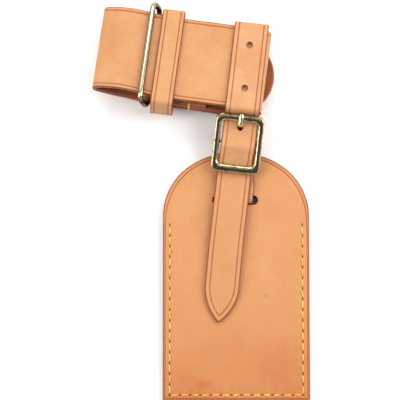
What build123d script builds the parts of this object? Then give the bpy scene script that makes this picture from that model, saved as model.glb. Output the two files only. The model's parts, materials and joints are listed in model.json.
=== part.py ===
from build123d import *
import math
import os

os.makedirs("parts", exist_ok=True)

# Luggage tag, lying flat on its back. +X is across the tag, +Y runs from the tag's
# straight end to its handle band, +Z is up. All lengths in millimetres, angles in degrees.

# ---------------------------------------------------------------- driving dimensions
TAG_WIDTH = 70.0
TAG_LENGTH = 118.0
PANEL_THICKNESS = 2.0
POCKET_RECESS = 0.3          # depth skived into each panel
POCKET_MARGIN = 5.0          # glued and sewn border
TAG_TILT = 1.2               # the arch end rests on the strap
ARCH_RADIUS = 46.0
SHOULDER_RADIUS = 24.0
SLOT_CENTRE = (-0.8, 96.0)
SLOT_SIZE = (22.4, 4.1)
CARD_SIZE = (58.0, 76.0, 0.3)
CARD_BOTTOM = 5.6
BODY_GAP = 0.2               # between leather faces that slide on each other

SEAM_INSET = 3.3             # from the side edges
SEAM_BOTTOM = 2.6            # from the straight end
SEAM_TOP = 84.0
SIDE_STITCHES = 16
BOTTOM_STITCHES = 13
THREAD = 0.6
NEEDLE_HOLE = 1.3
GROOVE_DEPTH = 0.55

STRAP_WIDTH = 16.5
STRAP_THICKNESS = 1.5
STRAP_YAW = -6.5             # the strap leans to the right of the tag's long axis
STRAP_ORIGIN = (-1.8, 95.95)
HOLE_DIAMETER = 3.2
SPARE_HOLES = (-11.2, 11.0)   # across the band, from its middle
TIP_AT = -59.5               # strap tip, measured along the strap from the slot
TIP_TAPER = 17.0
END_HINGE_AT = 12.6          # the free end lifts here, just past the buckle

BUCKLE_WIDTH = 22.5
BUCKLE_TOP_AT = 38.0         # bar centres, measured along the strap from the slot
BUCKLE_BOTTOM_AT = 14.4
BUCKLE_BOTTOM_HEIGHT = 11.5
BUCKLE_TILT = 16.0
BUCKLE_THICKNESS = 2.4
TOP_BAR = 2.7
BOTTOM_BAR = 3.3
SIDE_BAR = 2.3
CENTRE_BAR_RADIUS = 1.0
CENTRE_BAR_DROP = 3.5        # below the frame's middle plane

BAND_WIDTH = 41.6
BAND_THICKNESS = 2.0
BAND_YAW = -7.5
BAND_TILT = -9.0             # the edge towards the tag is raised
BAND_CENTRE_AT = 62.6        # along the strap from the slot
BAND_FACE_HEIGHT = 19.05     # front face above the floor at the band's middle
LOOP_RIGHT = 9.6             # outside of the right bend, from the strap's middle
LOOP_LEFT = -72.2
LOOP_RADIUS = 5.0            # right bend, middle of the leather
TAIL_END = 13.5
FOLD_END = -17.1
FOLD_SEAM_X = -25.3          # seam across the fold that holds the ring
FOLD_SEAM_REACH = 18.0
FOLD_STITCHES = 9

RING_WIRE = 2.7
RING_LENGTH = 52.8
RING_OFFSET = 1.5            # towards the band's far edge
RING_FRONT = (-48.7, 1.4)    # along the band, and above its front face
RING_REAR = (-45.4, -8.2)

KEEPER_CENTRE = -38.2
KEEPER_WIDTH = 10.8
KEEPER_THICKNESS = 1.4
KEEPER_DEPTH = (-13.95, 0.3)  # inside, below and above the band's front face
KEEPER_SLACK = 2.2           # beside each edge of the band

HALF_STRAP = STRAP_THICKNESS / 2
HALF_BAND = BAND_THICKNESS / 2
TAG_THICKNESS = 2 * PANEL_THICKNESS

# ---------------------------------------------------------------- shared frames
ALONG_Y = Plane(origin=(0, 0, 0), x_dir=(0, 1, 0), z_dir=(1, 0, 0))
TAG_PLACE = Rot(TAG_TILT, 0, 0)
STRAP_PLACE = Pos(*STRAP_ORIGIN, 0) * Rot(0, 0, STRAP_YAW)
BAND_MIDDLE = STRAP_PLACE * Pos(0, BAND_CENTRE_AT, BAND_FACE_HEIGHT)
BAND_PLACE = Pos(BAND_MIDDLE.position) * Rot(0, 0, BAND_YAW) * Rot(BAND_TILT, 0, 0)


def ribbon(points, radii, thickness, width, plane):
    """A leather strip whose middle follows rounded runs, seen from its edge."""
    line = FilletPolyline(*points, radius=radii)
    section = plane * trace(line, line_width=thickness)
    return extrude(section, width / 2, both=True)


def band_to_strap(across, depth):
    """A point of the band's cross-section, in the strap's along and height."""
    tilt = math.radians(-BAND_TILT)
    along = BAND_CENTRE_AT + across * math.cos(tilt) + depth * math.sin(tilt)
    height = BAND_FACE_HEIGHT + depth * math.cos(tilt) - across * math.sin(tilt)
    return (along, height)


def tag_face_height(along):
    """Height of the tag's front face above the floor, at a place along the strap."""
    tilt = math.radians(TAG_TILT)
    tag_y = STRAP_ORIGIN[1] + along * math.cos(math.radians(STRAP_YAW))
    return TAG_THICKNESS / math.cos(tilt) + tag_y * math.tan(tilt)


# ---------------------------------------------------------------- tag
def tag_outline():
    """Straight sides and a fuller than round arch, as two shoulder arcs and one wide arc."""
    half = TAG_WIDTH / 2
    arch_centre = TAG_LENGTH - ARCH_RADIUS
    reach = ARCH_RADIUS - SHOULDER_RADIUS
    side = half - SHOULDER_RADIUS
    shoulder_centre = arch_centre + math.sqrt(reach**2 - side**2)
    lean = math.asin(side / reach)
    join = (ARCH_RADIUS * math.sin(lean), arch_centre + ARCH_RADIUS * math.cos(lean))
    middle = (math.pi / 2 - lean) / 2
    bulge_x = side + SHOULDER_RADIUS * math.cos(middle)
    bulge = (bulge_x, shoulder_centre + SHOULDER_RADIUS * math.sin(middle))
    wire = [
        Line((-half, 0), (half, 0)),
        Line((half, 0), (half, shoulder_centre)),
        ThreePointArc((half, shoulder_centre), bulge, join),
        ThreePointArc(join, (0, TAG_LENGTH), (-join[0], join[1])),
        ThreePointArc((-join[0], join[1]), (-bulge[0], bulge[1]), (-half, shoulder_centre)),
        Line((-half, shoulder_centre), (-half, 0)),
    ]
    return make_face(Curve() + wire)


def stitch_runs():
    """Start, end and number of stitches of each straight run of the tag's seam."""
    side = TAG_WIDTH / 2 - SEAM_INSET
    return [
        ((-side, SEAM_TOP), (-side, SEAM_BOTTOM), SIDE_STITCHES),
        ((-side, SEAM_BOTTOM), (side, SEAM_BOTTOM), BOTTOM_STITCHES),
        ((side, SEAM_BOTTOM), (side, SEAM_TOP), SIDE_STITCHES),
    ]


def needle_holes(runs):
    """Every needle hole of the seam, once."""
    holes = []
    for start, end, count in runs:
        for step in range(count + 1):
            part = step / count
            x = start[0] + (end[0] - start[0]) * part
            y = start[1] + (end[1] - start[1]) * part
            hole = (x, y)
            if hole not in holes:
                holes.append(hole)
    return holes


def stitches(runs, surface, leg, thread=THREAD):
    """Staple-shaped stitches lying on a surface; leg is signed, towards the leather."""
    solids = []
    for start, end, count in runs:
        run = math.hypot(end[0] - start[0], end[1] - start[1])
        turn = math.degrees(math.atan2(end[1] - start[1], end[0] - start[0]))
        pitch = run / count
        length = pitch - thread / 2
        away = -1 if leg > 0 else 1
        bar = Pos(0, 0, away * thread * 0.4) * Box(length, thread, thread * 0.8)
        foot = Box(thread * 0.5, thread * 0.7, abs(leg))
        legs = [Pos(side * (length - thread * 0.5) / 2, 0, leg / 2) * foot for side in (-1, 1)]
        staple = bar + legs
        for step in range(count):
            middle = (step + 0.5) / count
            x = start[0] + (end[0] - start[0]) * middle
            y = start[1] + (end[1] - start[1]) * middle
            solids.append(Pos(x, y, surface) * Rot(0, 0, turn) * staple)
    return Compound(children=[s for staple in solids for s in staple.solids()])


def tag_panel(is_front):
    """One leather face with its strap slot, its needle holes and half of the pocket."""
    low = PANEL_THICKNESS if is_front else 0
    panel = Pos(0, 0, low) * extrude(tag_outline(), PANEL_THICKNESS)
    recess_low = PANEL_THICKNESS if is_front else PANEL_THICKNESS - POCKET_RECESS
    pocket_width = TAG_WIDTH - 2 * POCKET_MARGIN
    pocket = Pos(0, POCKET_MARGIN + TAG_LENGTH / 2, recess_low + POCKET_RECESS / 2)
    panel -= pocket * Box(pocket_width, TAG_LENGTH, POCKET_RECESS)
    panel -= Pos(*SLOT_CENTRE, 0) * extrude(SlotOverall(*SLOT_SIZE), TAG_THICKNESS)
    drill = Cylinder(NEEDLE_HOLE / 2, 3 * TAG_THICKNESS)
    panel -= [Pos(x, y, 0) * drill for x, y in needle_holes(stitch_runs())]
    if not is_front:
        panel -= [stitching_groove(start, end) for start, end, count in stitch_runs()]
    return panel


def stitching_groove(start, end):
    """Groove in the back face that keeps the thread off the surface the tag lies on."""
    width = THREAD + 0.3
    length = abs(end[0] - start[0]) + width
    height = abs(end[1] - start[1]) + width
    return Pos((start[0] + end[0]) / 2, (start[1] + end[1]) / 2, 0) * Box(length, height, 2 * GROOVE_DEPTH)


def id_card():
    width, length, thickness = CARD_SIZE
    return Pos(0, CARD_BOTTOM + length / 2, PANEL_THICKNESS) * Box(width, length, thickness)


# ---------------------------------------------------------------- narrow strap and buckle
def frame_point(along, above=0.0):
    """A point of the buckle's middle plane, and above it, as along and height."""
    tilt = math.radians(BUCKLE_TILT)
    height = BUCKLE_BOTTOM_HEIGHT + (along - BUCKLE_BOTTOM_AT) * math.tan(tilt)
    return (along - above * math.sin(tilt), height + above * math.cos(tilt))


BAR_AT = (BUCKLE_TOP_AT + BUCKLE_BOTTOM_AT) / 2
BAR_CENTRE = frame_point(BAR_AT, -CENTRE_BAR_DROP)
FOLD_RADIUS = CENTRE_BAR_RADIUS + 0.1 + HALF_STRAP
FOLD_TAIL = (20.8, 7.65)     # end of the leather turned back under the bar
FOLD_SEAM_AT = 21.9          # the fold's two plies are sewn together here
FLOOR_MIDDLE = HALF_STRAP
EDGE = BAND_WIDTH / 2
WRAP = 0.25 + HALF_STRAP
BEND_OUT = 1.9               # middle of the strap beyond the band's far edge
UNDER_LIFT = BODY_GAP + HALF_STRAP
FRONT_LIFT = UNDER_LIFT + STRAP_THICKNESS + BODY_GAP
SWING_AXIS = band_to_strap(-EDGE - WRAP + 0.1, -1.9)
LANDING_AT = 17.3            # the ply from the fold comes down to the tag's face here
FOOT_AT = 24.0               # the back ply leaves the floor here
PRONG_SLOT_WIDTH = 3.6
BACK_SPLIT_AT = 31.0
SPLIT_GAP = 1.3
STACK_DEPTH = 2 * LOOP_RADIUS + 2 * BAND_THICKNESS + 0.3
BACK_EDGE = band_to_strap(-EDGE - 1.0, -STACK_DEPTH - WRAP)


def strap_ribbon(points, radii, thickness=STRAP_THICKNESS, width=STRAP_WIDTH):
    return ribbon(points, radii, thickness, width, ALONG_Y)


def back_point(along):
    """Middle of the back ply on its way from the floor up to the band."""
    rise = (BACK_EDGE[1] - FLOOR_MIDDLE) / (BACK_EDGE[0] - FOOT_AT)
    return (along, FLOOR_MIDDLE + (along - FOOT_AT) * rise)


def strap_base():
    """Tail, fold round the bar, ply on the tag's face, turn through the slot, ply under the tag."""
    along, height = BAR_CENTRE
    before = along - 1.6
    beyond = along + FOLD_RADIUS
    turn = FOLD_RADIUS - 0.05
    points = [
        FOLD_TAIL,
        (before, height - FOLD_RADIUS),
        (beyond, height - FOLD_RADIUS),
        (beyond, height + FOLD_RADIUS),
        (before, height + FOLD_RADIUS),
        (LANDING_AT, tag_face_height(LANDING_AT) + UNDER_LIFT),
        (0.0, tag_face_height(0) + UNDER_LIFT),
        (0.0, FLOOR_MIDDLE),
        (FOOT_AT, FLOOR_MIDDLE),
        back_point(BACK_SPLIT_AT - SPLIT_GAP),
    ]
    base = strap_ribbon(points, [3, turn, turn, 3, 3, 0.9, 0.9, 8])
    slot_length = 2 * FOLD_RADIUS + 5.5
    return base - Pos(0, along + 1.0, height) * Box(PRONG_SLOT_WIDTH, slot_length, 4 * FOLD_RADIUS)


PRONG_HOLE_AT = 33.4
CREST_HEIGHT = BAR_CENTRE[1] + FOLD_RADIUS + STRAP_THICKNESS + BODY_GAP
UNDER_TOP_BAR = frame_point(BUCKLE_TOP_AT - 0.9, -BUCKLE_THICKNESS / 2 - HALF_STRAP - 0.15)


def strap_front():
    """Front ply from the band's edge, under the top bar, over the centre bar, under the bottom bar."""
    bottom = (END_HINGE_AT + 0.3, tag_face_height(END_HINGE_AT) + FRONT_LIFT)
    points = [
        (SWING_AXIS[0] - 0.1, SWING_AXIS[1] - 0.3),
        (BUCKLE_TOP_AT + 2.15, UNDER_TOP_BAR[1] + 0.2),
        UNDER_TOP_BAR,
        (BAR_CENTRE[0] + 2.0, CREST_HEIGHT),
        (BAR_CENTRE[0] - 2.7, CREST_HEIGHT),
        (BUCKLE_BOTTOM_AT + 1.5, tag_face_height(BUCKLE_BOTTOM_AT) + FRONT_LIFT + 0.5),
        bottom,
    ]
    front = strap_ribbon(points, [0.9, 2, 6, 3, 1.5])
    hole_height = CREST_HEIGHT + (UNDER_TOP_BAR[1] - CREST_HEIGHT) * 0.6
    hole = Pos(0, PRONG_HOLE_AT, hole_height) * Cylinder(HOLE_DIAMETER / 2, 6)
    return front - hole


def strap_loop():
    """The part of the strap that wraps the band, with its two spare holes."""
    front_start = (SWING_AXIS[0], SWING_AXIS[1] + 0.3)
    points = [
        front_start,
        band_to_strap(-EDGE - WRAP, WRAP),
        band_to_strap(EDGE + BEND_OUT, WRAP),
        band_to_strap(EDGE + BEND_OUT, -STACK_DEPTH - WRAP),
        BACK_EDGE,
        back_point(BACK_SPLIT_AT),
    ]
    loop = strap_ribbon(points, [0.9, 2.6, 2.6, 4])
    drill = Rot(BAND_TILT, 0, 0) * Cylinder(HOLE_DIAMETER / 2, 6)
    for across in SPARE_HOLES:
        along, height = band_to_strap(across, WRAP)
        loop -= Pos(0, along, height) * drill
    return loop


def strap_end():
    """Free end below the buckle, tapered to a pointed arch."""
    start = (END_HINGE_AT - 0.3, tag_face_height(END_HINGE_AT) + FRONT_LIFT)
    crest = (-3.0, tag_face_height(-3.0) + FRONT_LIFT + 0.35)
    tip = (TIP_AT, tag_face_height(TIP_AT) + UNDER_LIFT + 0.1)
    strip = strap_ribbon([start, crest, tip], [60])
    half = STRAP_WIDTH / 2
    shoulder = TIP_AT + TIP_TAPER
    belly = (half * 0.68, TIP_AT + TIP_TAPER * 0.42)
    outline = [
        Line((-half, END_HINGE_AT), (half, END_HINGE_AT)),
        Line((half, END_HINGE_AT), (half, shoulder)),
        ThreePointArc((half, shoulder), belly, (0, TIP_AT)),
        ThreePointArc((0, TIP_AT), (-belly[0], belly[1]), (-half, shoulder)),
        Line((-half, shoulder), (-half, END_HINGE_AT)),
    ]
    return strip & extrude(make_face(Curve() + outline), 40)


def strap_fold_stitches(is_top):
    """Four stitches across the fold, beside the prong slot."""
    runs = [((-7.0, 0), (-2.6, 0), 2), ((2.6, 0), (7.0, 0), 2)]
    along, height = BAR_CENTRE
    before = along - 1.6
    if is_top:
        end = (LANDING_AT, tag_face_height(LANDING_AT) + UNDER_LIFT)
        knee = (before, height + FOLD_RADIUS)
    else:
        end = FOLD_TAIL
        knee = (before, height - FOLD_RADIUS)
    rise = (knee[1] - end[1]) / (knee[0] - end[0])
    middle = end[1] + (FOLD_SEAM_AT - end[0]) * rise
    side = 1 if is_top else -1
    row = stitches(runs, side * (HALF_STRAP - 0.2), -0.7 * side, 0.45)
    return Pos(0, FOLD_SEAM_AT, middle) * Rot(math.degrees(math.atan(rise)), 0, 0) * row


def buckle_place():
    along, height = frame_point(BAR_AT)
    return Pos(0, along, height) * Rot(BUCKLE_TILT, 0, 0)


def buckle_frame():
    """Flat-faced frame; its rear lugs hold the centre bar behind the frame's plane."""
    span = (BUCKLE_TOP_AT - BUCKLE_BOTTOM_AT) / math.cos(math.radians(BUCKLE_TILT))
    top = span / 2 + TOP_BAR / 2
    bottom = -span / 2 - BOTTOM_BAR / 2
    outer = Pos(0, (top + bottom) / 2) * RectangleRounded(BUCKLE_WIDTH, top - bottom, 2.2)
    inner_top = span / 2 - TOP_BAR / 2
    inner_bottom = -span / 2 + BOTTOM_BAR / 2
    opening = RectangleRounded(BUCKLE_WIDTH - 2 * SIDE_BAR, inner_top - inner_bottom, 1.6)
    face = outer - Pos(0, (inner_top + inner_bottom) / 2) * opening
    frame = extrude(face, BUCKLE_THICKNESS / 2, both=True)
    rims = frame.edges().filter_by(Plane.XY).group_by(Axis.Z)[-1]
    frame = chamfer(rims, 0.4)
    lug_height = CENTRE_BAR_DROP + CENTRE_BAR_RADIUS + 0.6
    lug = extrude(SlotOverall(lug_height + 1, 3.2, rotation=90), SIDE_BAR / 2 - 0.2, both=True)
    for side in (-1, 1):
        place = Pos(side * (BUCKLE_WIDTH - SIDE_BAR) / 2, 0, 0.2 - lug_height / 2)
        frame += place * Rot(0, 90, 0) * Rot(0, 0, 90) * lug
    frame -= Pos(0, 0, -CENTRE_BAR_DROP) * Rot(0, 90, 0) * Cylinder(CENTRE_BAR_RADIUS, BUCKLE_WIDTH)
    return buckle_place() * frame


def buckle_bar():
    bar = Pos(0, 0, -CENTRE_BAR_DROP) * Rot(0, 90, 0) * Cylinder(CENTRE_BAR_RADIUS, BUCKLE_WIDTH - 0.4)
    return buckle_place() * bar


PRONG_THICKNESS = 1.3
PRONG_WIDTH = 2.3


def buckle_prong():
    """Eye round the bar, a low run, a rise through the strap's hole, and a rest on the top bar."""
    eye_radius = CENTRE_BAR_RADIUS + 0.08 + PRONG_THICKNESS / 2
    along, height = BAR_CENTRE
    rest = BUCKLE_THICKNESS / 2 + PRONG_THICKNESS / 2 + 0.05
    top = frame_point(BUCKLE_TOP_AT + 1.2, rest)
    knee = frame_point(PRONG_HOLE_AT + 1.3, rest)
    points = [
        (along + 1.2, height - 0.4),
        (PRONG_HOLE_AT - 0.1, height + 0.5),
        knee,
        top,
    ]
    arm = ribbon(points, [0.8, 0.9], PRONG_THICKNESS, PRONG_WIDTH, ALONG_Y)
    eye_place = Pos(0, along, height) * Rot(0, 90, 0)
    arm += eye_place * Cylinder(eye_radius + PRONG_THICKNESS / 2, PRONG_WIDTH)
    return arm - eye_place * Cylinder(CENTRE_BAR_RADIUS + 0.08, BUCKLE_WIDTH)


# ---------------------------------------------------------------- handle band
def handle_band():
    """Turned-back end, fold round the ring, rear ply, right bend, front ply, left bend, tail."""
    rear_x, rear_z = RING_REAR
    wrap = RING_WIRE / 2 + 0.1 + HALF_BAND
    left = LOOP_LEFT + HALF_BAND
    right = LOOP_RIGHT - HALF_BAND
    rear_ply = -HALF_BAND - 2 * LOOP_RADIUS
    points = [
        (FOLD_END, -7.5),
        (-34.0, -7.5),
        (rear_x + 1.0, rear_z + wrap),
        (rear_x - wrap, rear_z + wrap),
        (rear_x - wrap, rear_z - wrap),
        (rear_x + 1.0, rear_z - wrap),
        (-34.0, -9.7),
        (-17.0, -9.7),
        (1.0, rear_ply),
        (right, rear_ply),
        (right, -HALF_BAND),
        (-63.0, -HALF_BAND),
        (left, -3.2),
        (left, -7.6),
        (-60.0, -11.6),
        (rear_x + 1.0, -12.8),
        (-35.0, -12.2),
        (-20.0, -12.2),
        (-2.0, rear_ply - BAND_THICKNESS - 0.3),
        (TAIL_END, rear_ply - BAND_THICKNESS - 0.3),
    ]
    radii = [8, 3, wrap - 0.1, wrap - 0.1, 3, 8, 20, 20, LOOP_RADIUS - 0.05, LOOP_RADIUS - 0.05, 12]
    radii += [2.5, 2.5, 8, 12, 12, 12, 12]
    band = ribbon(points, radii, BAND_THICKNESS, BAND_WIDTH, Plane.XZ)
    corner = BAND_WIDTH / 2
    tip = Pos(TAIL_END - corner / 2, 0, rear_ply - BAND_THICKNESS - 0.3)
    waste = Box(corner, BAND_WIDTH, BAND_THICKNESS + 0.2)
    round_end = Pos(-corner / 2, 0, 0) * Cylinder(corner, BAND_THICKNESS + 0.2)
    return band - tip * (waste - round_end)


def band_fold_stitches(is_top):
    """Seam across the fold, behind the ring."""
    runs = [((FOLD_SEAM_X, -FOLD_SEAM_REACH), (FOLD_SEAM_X, FOLD_SEAM_REACH), FOLD_STITCHES)]
    surface, leg = (-6.5, -0.9) if is_top else (-10.7, 0.9)
    return stitches(runs, surface, leg, 0.5)


def fold_holes():
    drill = Cylinder(NEEDLE_HOLE / 2, 4.6)
    pitch = 2 * FOLD_SEAM_REACH / FOLD_STITCHES
    places = [-FOLD_SEAM_REACH + pitch * step for step in range(FOLD_STITCHES + 1)]
    return [Pos(FOLD_SEAM_X, y, -8.6) * drill for y in places]


def band_ring():
    """Rounded rectangle of round wire, leaning from the band's face down to the fold."""
    front = Vector(RING_FRONT[0], 0, RING_FRONT[1])
    rear = Vector(RING_REAR[0], 0, RING_REAR[1])
    depth = (front - rear).length
    middle = (front + rear) * 0.5 + Vector(0, RING_OFFSET, 0)
    plane = Plane(origin=middle, x_dir=(0, 1, 0), z_dir=Vector(0, 1, 0).cross(rear - front))
    path = plane * Wire(RectangleRounded(RING_LENGTH - RING_WIRE, depth, 3.4).wire().edges())
    start = path.edges()[0]
    section = Plane(origin=start @ 0, z_dir=start % 0) * Circle(RING_WIRE / 2)
    return sweep(section, path=path)


def keeper_section(grow):
    low, high = KEEPER_DEPTH
    width = BAND_WIDTH + 2 * KEEPER_SLACK + 2 * grow
    height = high - low + 2 * grow
    return Plane.YZ * Pos(0, (low + high) / 2) * RectangleRounded(width, height, 0.6 + grow)


def band_keeper():
    face = keeper_section(KEEPER_THICKNESS) - keeper_section(0)
    keeper = Pos(KEEPER_CENTRE, 0, 0) * extrude(face, KEEPER_WIDTH / 2, both=True)
    drill = Cylinder(0.6, 3.0)
    low = KEEPER_DEPTH[0] - KEEPER_THICKNESS / 2
    return keeper - [Pos(x, y, low) * drill for x, y in needle_holes(keeper_runs())]


def keeper_runs():
    """Three stitches across the butt joint on the keeper's back."""
    left = KEEPER_CENTRE - 3.0
    right = KEEPER_CENTRE + 3.0
    return [((x, -2.0), (x, 2.0), 1) for x in (left, KEEPER_CENTRE, right)]


def keeper_stitches():
    return stitches(keeper_runs(), KEEPER_DEPTH[0] - 0.5, -0.7, 0.4)


# ---------------------------------------------------------------- assembly
def build():
    nodes = {
        "tag_front_panel": TAG_PLACE * tag_panel(True),
        "tag_back_panel": TAG_PLACE * tag_panel(False),
        "tag_seam_needle_thread": TAG_PLACE * stitches(stitch_runs(), TAG_THICKNESS, -1.6),
        "tag_seam_bobbin_thread": TAG_PLACE * stitches(stitch_runs(), THREAD * 0.8 + 0.04, 1.2),
        "id_card": TAG_PLACE * id_card(),
        "strap_base": STRAP_PLACE * strap_base(),
        "strap_front": STRAP_PLACE * strap_front(),
        "strap_loop": STRAP_PLACE * strap_loop(),
        "strap_end": STRAP_PLACE * strap_end(),
        "strap_fold_needle_thread": STRAP_PLACE * strap_fold_stitches(True),
        "strap_fold_bobbin_thread": STRAP_PLACE * strap_fold_stitches(False),
        "buckle_frame": STRAP_PLACE * buckle_frame(),
        "buckle_bar": STRAP_PLACE * buckle_bar(),
        "buckle_prong": STRAP_PLACE * buckle_prong(),
        "handle_band": BAND_PLACE * (handle_band() - fold_holes()),
        "band_fold_needle_thread": BAND_PLACE * band_fold_stitches(True),
        "band_fold_bobbin_thread": BAND_PLACE * band_fold_stitches(False),
        "band_ring": BAND_PLACE * band_ring(),
        "band_keeper": BAND_PLACE * band_keeper(),
        "keeper_seam_thread": BAND_PLACE * keeper_stitches(),
    }
    box = Compound(children=[Compound(s.solids()) for s in nodes.values()]).bounding_box()
    shift = Pos(-box.center().X, -box.center().Y, -box.min.Z)
    return {name: shift * shape for name, shape in nodes.items()}, shift


def joint_axes(shift):
    """Anchor and direction of each joint in the part's frame."""
    band = shift * BAND_PLACE
    strap = shift * STRAP_PLACE
    tag = shift * TAG_PLACE
    end_height = tag_face_height(END_HINGE_AT) + FRONT_LIFT
    places = {
        "ring_pivot": (band, (RING_REAR[0], 0, RING_REAR[1]), (0, 1, 0)),
        "keeper_slide": (band, (KEEPER_CENTRE, 0, 0), (1, 0, 0)),
        "strap_slide": (band, (0, 0, 0), (1, 0, 0)),
        "tag_swing": (strap, (0, *SWING_AXIS), (-1, 0, 0)),
        "strap_end_lift": (strap, (0, END_HINGE_AT, end_height), (-1, 0, 0)),
        "prong_swing": (strap, (0, *BAR_CENTRE), (1, 0, 0)),
        "tag_swivel": (tag, (STRAP_ORIGIN[0], STRAP_ORIGIN[1], TAG_THICKNESS / 2), (0, 0, 1)),
        "card_slide": (tag, (0, CARD_BOTTOM, PANEL_THICKNESS), (0, 1, 0)),
    }
    axes = {}
    for name, (place, point, direction) in places.items():
        anchor = (place * Pos(*point)).position
        end = (place * Pos(*[p + d for p, d in zip(point, direction)])).position
        axes[name] = (anchor, (end - anchor).normalized())
    return axes


if __name__ == "__main__":
    shapes, shift = build()
    for name, shape in shapes.items():
        solids = shape.solids()
        kept = solids[0] if len(solids) == 1 else Compound(solids)
        export_step(kept, f"parts/{name}.step")
        size = kept.bounding_box().size
        extent = f"{size.X:.1f} x {size.Y:.1f} x {size.Z:.1f}"
        print(f"{name:26s} {len(solids):3d} solids {kept.volume:10.2f} mm3  {extent}")
    for name, (anchor, direction) in joint_axes(shift).items():
        print(name, [round(v, 3) for v in anchor], [round(v, 5) for v in direction])
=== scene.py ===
import json
import math

import bmesh
import bpy
import numpy as np
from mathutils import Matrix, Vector
from mathutils.geometry import delaunay_2d_cdt


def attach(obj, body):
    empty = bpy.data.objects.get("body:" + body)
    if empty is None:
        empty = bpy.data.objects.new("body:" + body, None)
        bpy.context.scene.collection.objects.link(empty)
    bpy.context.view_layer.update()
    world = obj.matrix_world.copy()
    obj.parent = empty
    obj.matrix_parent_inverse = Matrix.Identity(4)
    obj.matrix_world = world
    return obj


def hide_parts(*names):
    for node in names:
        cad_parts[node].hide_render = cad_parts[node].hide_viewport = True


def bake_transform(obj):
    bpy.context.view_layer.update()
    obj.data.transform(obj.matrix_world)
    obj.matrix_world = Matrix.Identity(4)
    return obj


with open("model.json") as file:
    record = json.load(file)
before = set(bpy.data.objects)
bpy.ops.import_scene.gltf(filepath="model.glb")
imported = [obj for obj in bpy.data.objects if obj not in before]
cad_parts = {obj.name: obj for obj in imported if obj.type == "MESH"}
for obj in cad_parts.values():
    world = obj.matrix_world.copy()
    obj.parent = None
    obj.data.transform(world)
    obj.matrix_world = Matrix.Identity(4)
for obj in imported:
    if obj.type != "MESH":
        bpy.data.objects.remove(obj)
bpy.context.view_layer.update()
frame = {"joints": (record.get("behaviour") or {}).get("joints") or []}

# Lengths below are in millimetres, in three frames taken from the joints. MM turns them to metres.
MM = 0.001
joints = {j["name"]: j for j in frame["joints"]}


class Place:
    """A local frame: three axes and an origin, millimetres in and metres out."""

    def __init__(self, origin, x_axis, y_axis, z_axis):
        self.origin = np.array(origin, float)
        self.axes = np.array([x_axis, y_axis, z_axis], float)

    def __call__(self, points):
        return self.origin + (np.asarray(points, float) * MM) @ self.axes

    def point(self, x, y, z):
        return Vector(self([x, y, z]))


def joint_axis(name):
    return np.array(joints[name]["axis"], float)


def joint_position(name):
    return np.array(joints[name]["pos_m"], float)


# Tag: x across, y from the straight end to the arch, z out of the front face, back face at 0.
STRAP_THROUGH = np.array([-1.8, 95.95, 2.0])
tag_axes = [[1, 0, 0], joint_axis("card_slide"), joint_axis("tag_swivel")]
tag_origin = joint_position("tag_swivel") - (STRAP_THROUGH * MM) @ np.array(tag_axes)
TAG = Place(tag_origin, *tag_axes)

# Strap: x across, y along the strap from the slot towards the band, z up from the floor.
FREE_END_AT = 12.6
across = joint_axis("prong_swing")
along = np.cross([0, 0, 1], across)
strap_origin = joint_position("strap_end_lift") - FREE_END_AT * MM * along
strap_origin[2] = 0
STRAP = Place(strap_origin, across, along, [0, 0, 1])

# Band: x along the band, y across it and away from the tag, z out of its front face.
RING_REAR = (-45.4, -8.2)
RING_FRONT = (-48.7, 1.4)
band_axes = [joint_axis("keeper_slide"), joint_axis("ring_pivot")]
band_axes.append(np.cross(*band_axes))
rear_bar = np.array([RING_REAR[0], 0, RING_REAR[1]])
BAND = Place(joint_position("ring_pivot") - (rear_bar * MM) @ np.array(band_axes), *band_axes)


# ---------------------------------------------------------------- paths
MIN_STEP = 0.02
STRAIGHT_ANGLE = 0.002


def smoothstep(x, low, high):
    t = np.clip((np.asarray(x, float) - low) / (high - low), 0, 1)
    return t * t * (3 - 2 * t)


def rounded(points, radii, step=0.8, bend_step=0.16):
    """Samples of a polyline with rounded corners: points, unit tangents and distances along it."""
    points = [np.array(p, float) for p in points]
    marks = [points[0]]
    bends = [False]
    for before, corner, after, radius in zip(points, points[1:], points[2:], radii):
        a = (before - corner) / np.linalg.norm(before - corner)
        b = (after - corner) / np.linalg.norm(after - corner)
        angle = math.acos(np.clip(a @ b, -1, 1))
        if math.pi - angle < STRAIGHT_ANGLE:
            continue
        reach = radius / math.tan(angle / 2)
        start = corner + a * reach
        centre = corner + (a + b) / np.linalg.norm(a + b) * radius / math.sin(angle / 2)
        sweep = math.pi - angle
        arm = start - centre
        far = corner + b * reach - centre
        turn = np.sign(arm[0] * far[1] - arm[1] * far[0])
        count = max(4, int(sweep * radius / bend_step / max(1.0, radius / 5)))
        for k in range(count + 1):
            t = turn * sweep * k / count
            c, s = math.cos(t), math.sin(t)
            marks.append(centre + np.array([arm[0] * c - arm[1] * s, arm[0] * s + arm[1] * c]))
            bends.append(k > 0)
    marks.append(points[-1])
    bends.append(False)
    line = [marks[0]]
    for mark, bend in zip(marks[1:], bends[1:]):
        gap = np.linalg.norm(mark - line[-1])
        if gap < 1e-6:
            continue
        pieces = 1 if bend else max(1, int(math.ceil(gap / step)))
        base = line[-1]
        line += [base + (mark - base) * (k + 1) / pieces for k in range(pieces)]
    line = np.array(line)
    gaps = np.linalg.norm(np.diff(line, axis=0), axis=1)
    length = np.concatenate([[0], np.cumsum(gaps)])
    chords = np.diff(line, axis=0) / gaps[:, None]
    tangents = np.vstack([chords[:1], chords[:-1] + chords[1:], chords[-1:]])
    tangents /= np.linalg.norm(tangents, axis=1)[:, None]
    return line, tangents, length


def samples_at(path, at):
    """Points and unit tangents of a sampled path at the given distances, and those distances."""
    line, tangents, length = path
    points = np.stack([np.interp(at, length, line[:, k]) for k in range(2)], 1)
    directions = np.stack([np.interp(at, length, tangents[:, k]) for k in range(2)], 1)
    directions /= np.linalg.norm(directions, axis=1)[:, None]
    return points, directions, at


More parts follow.
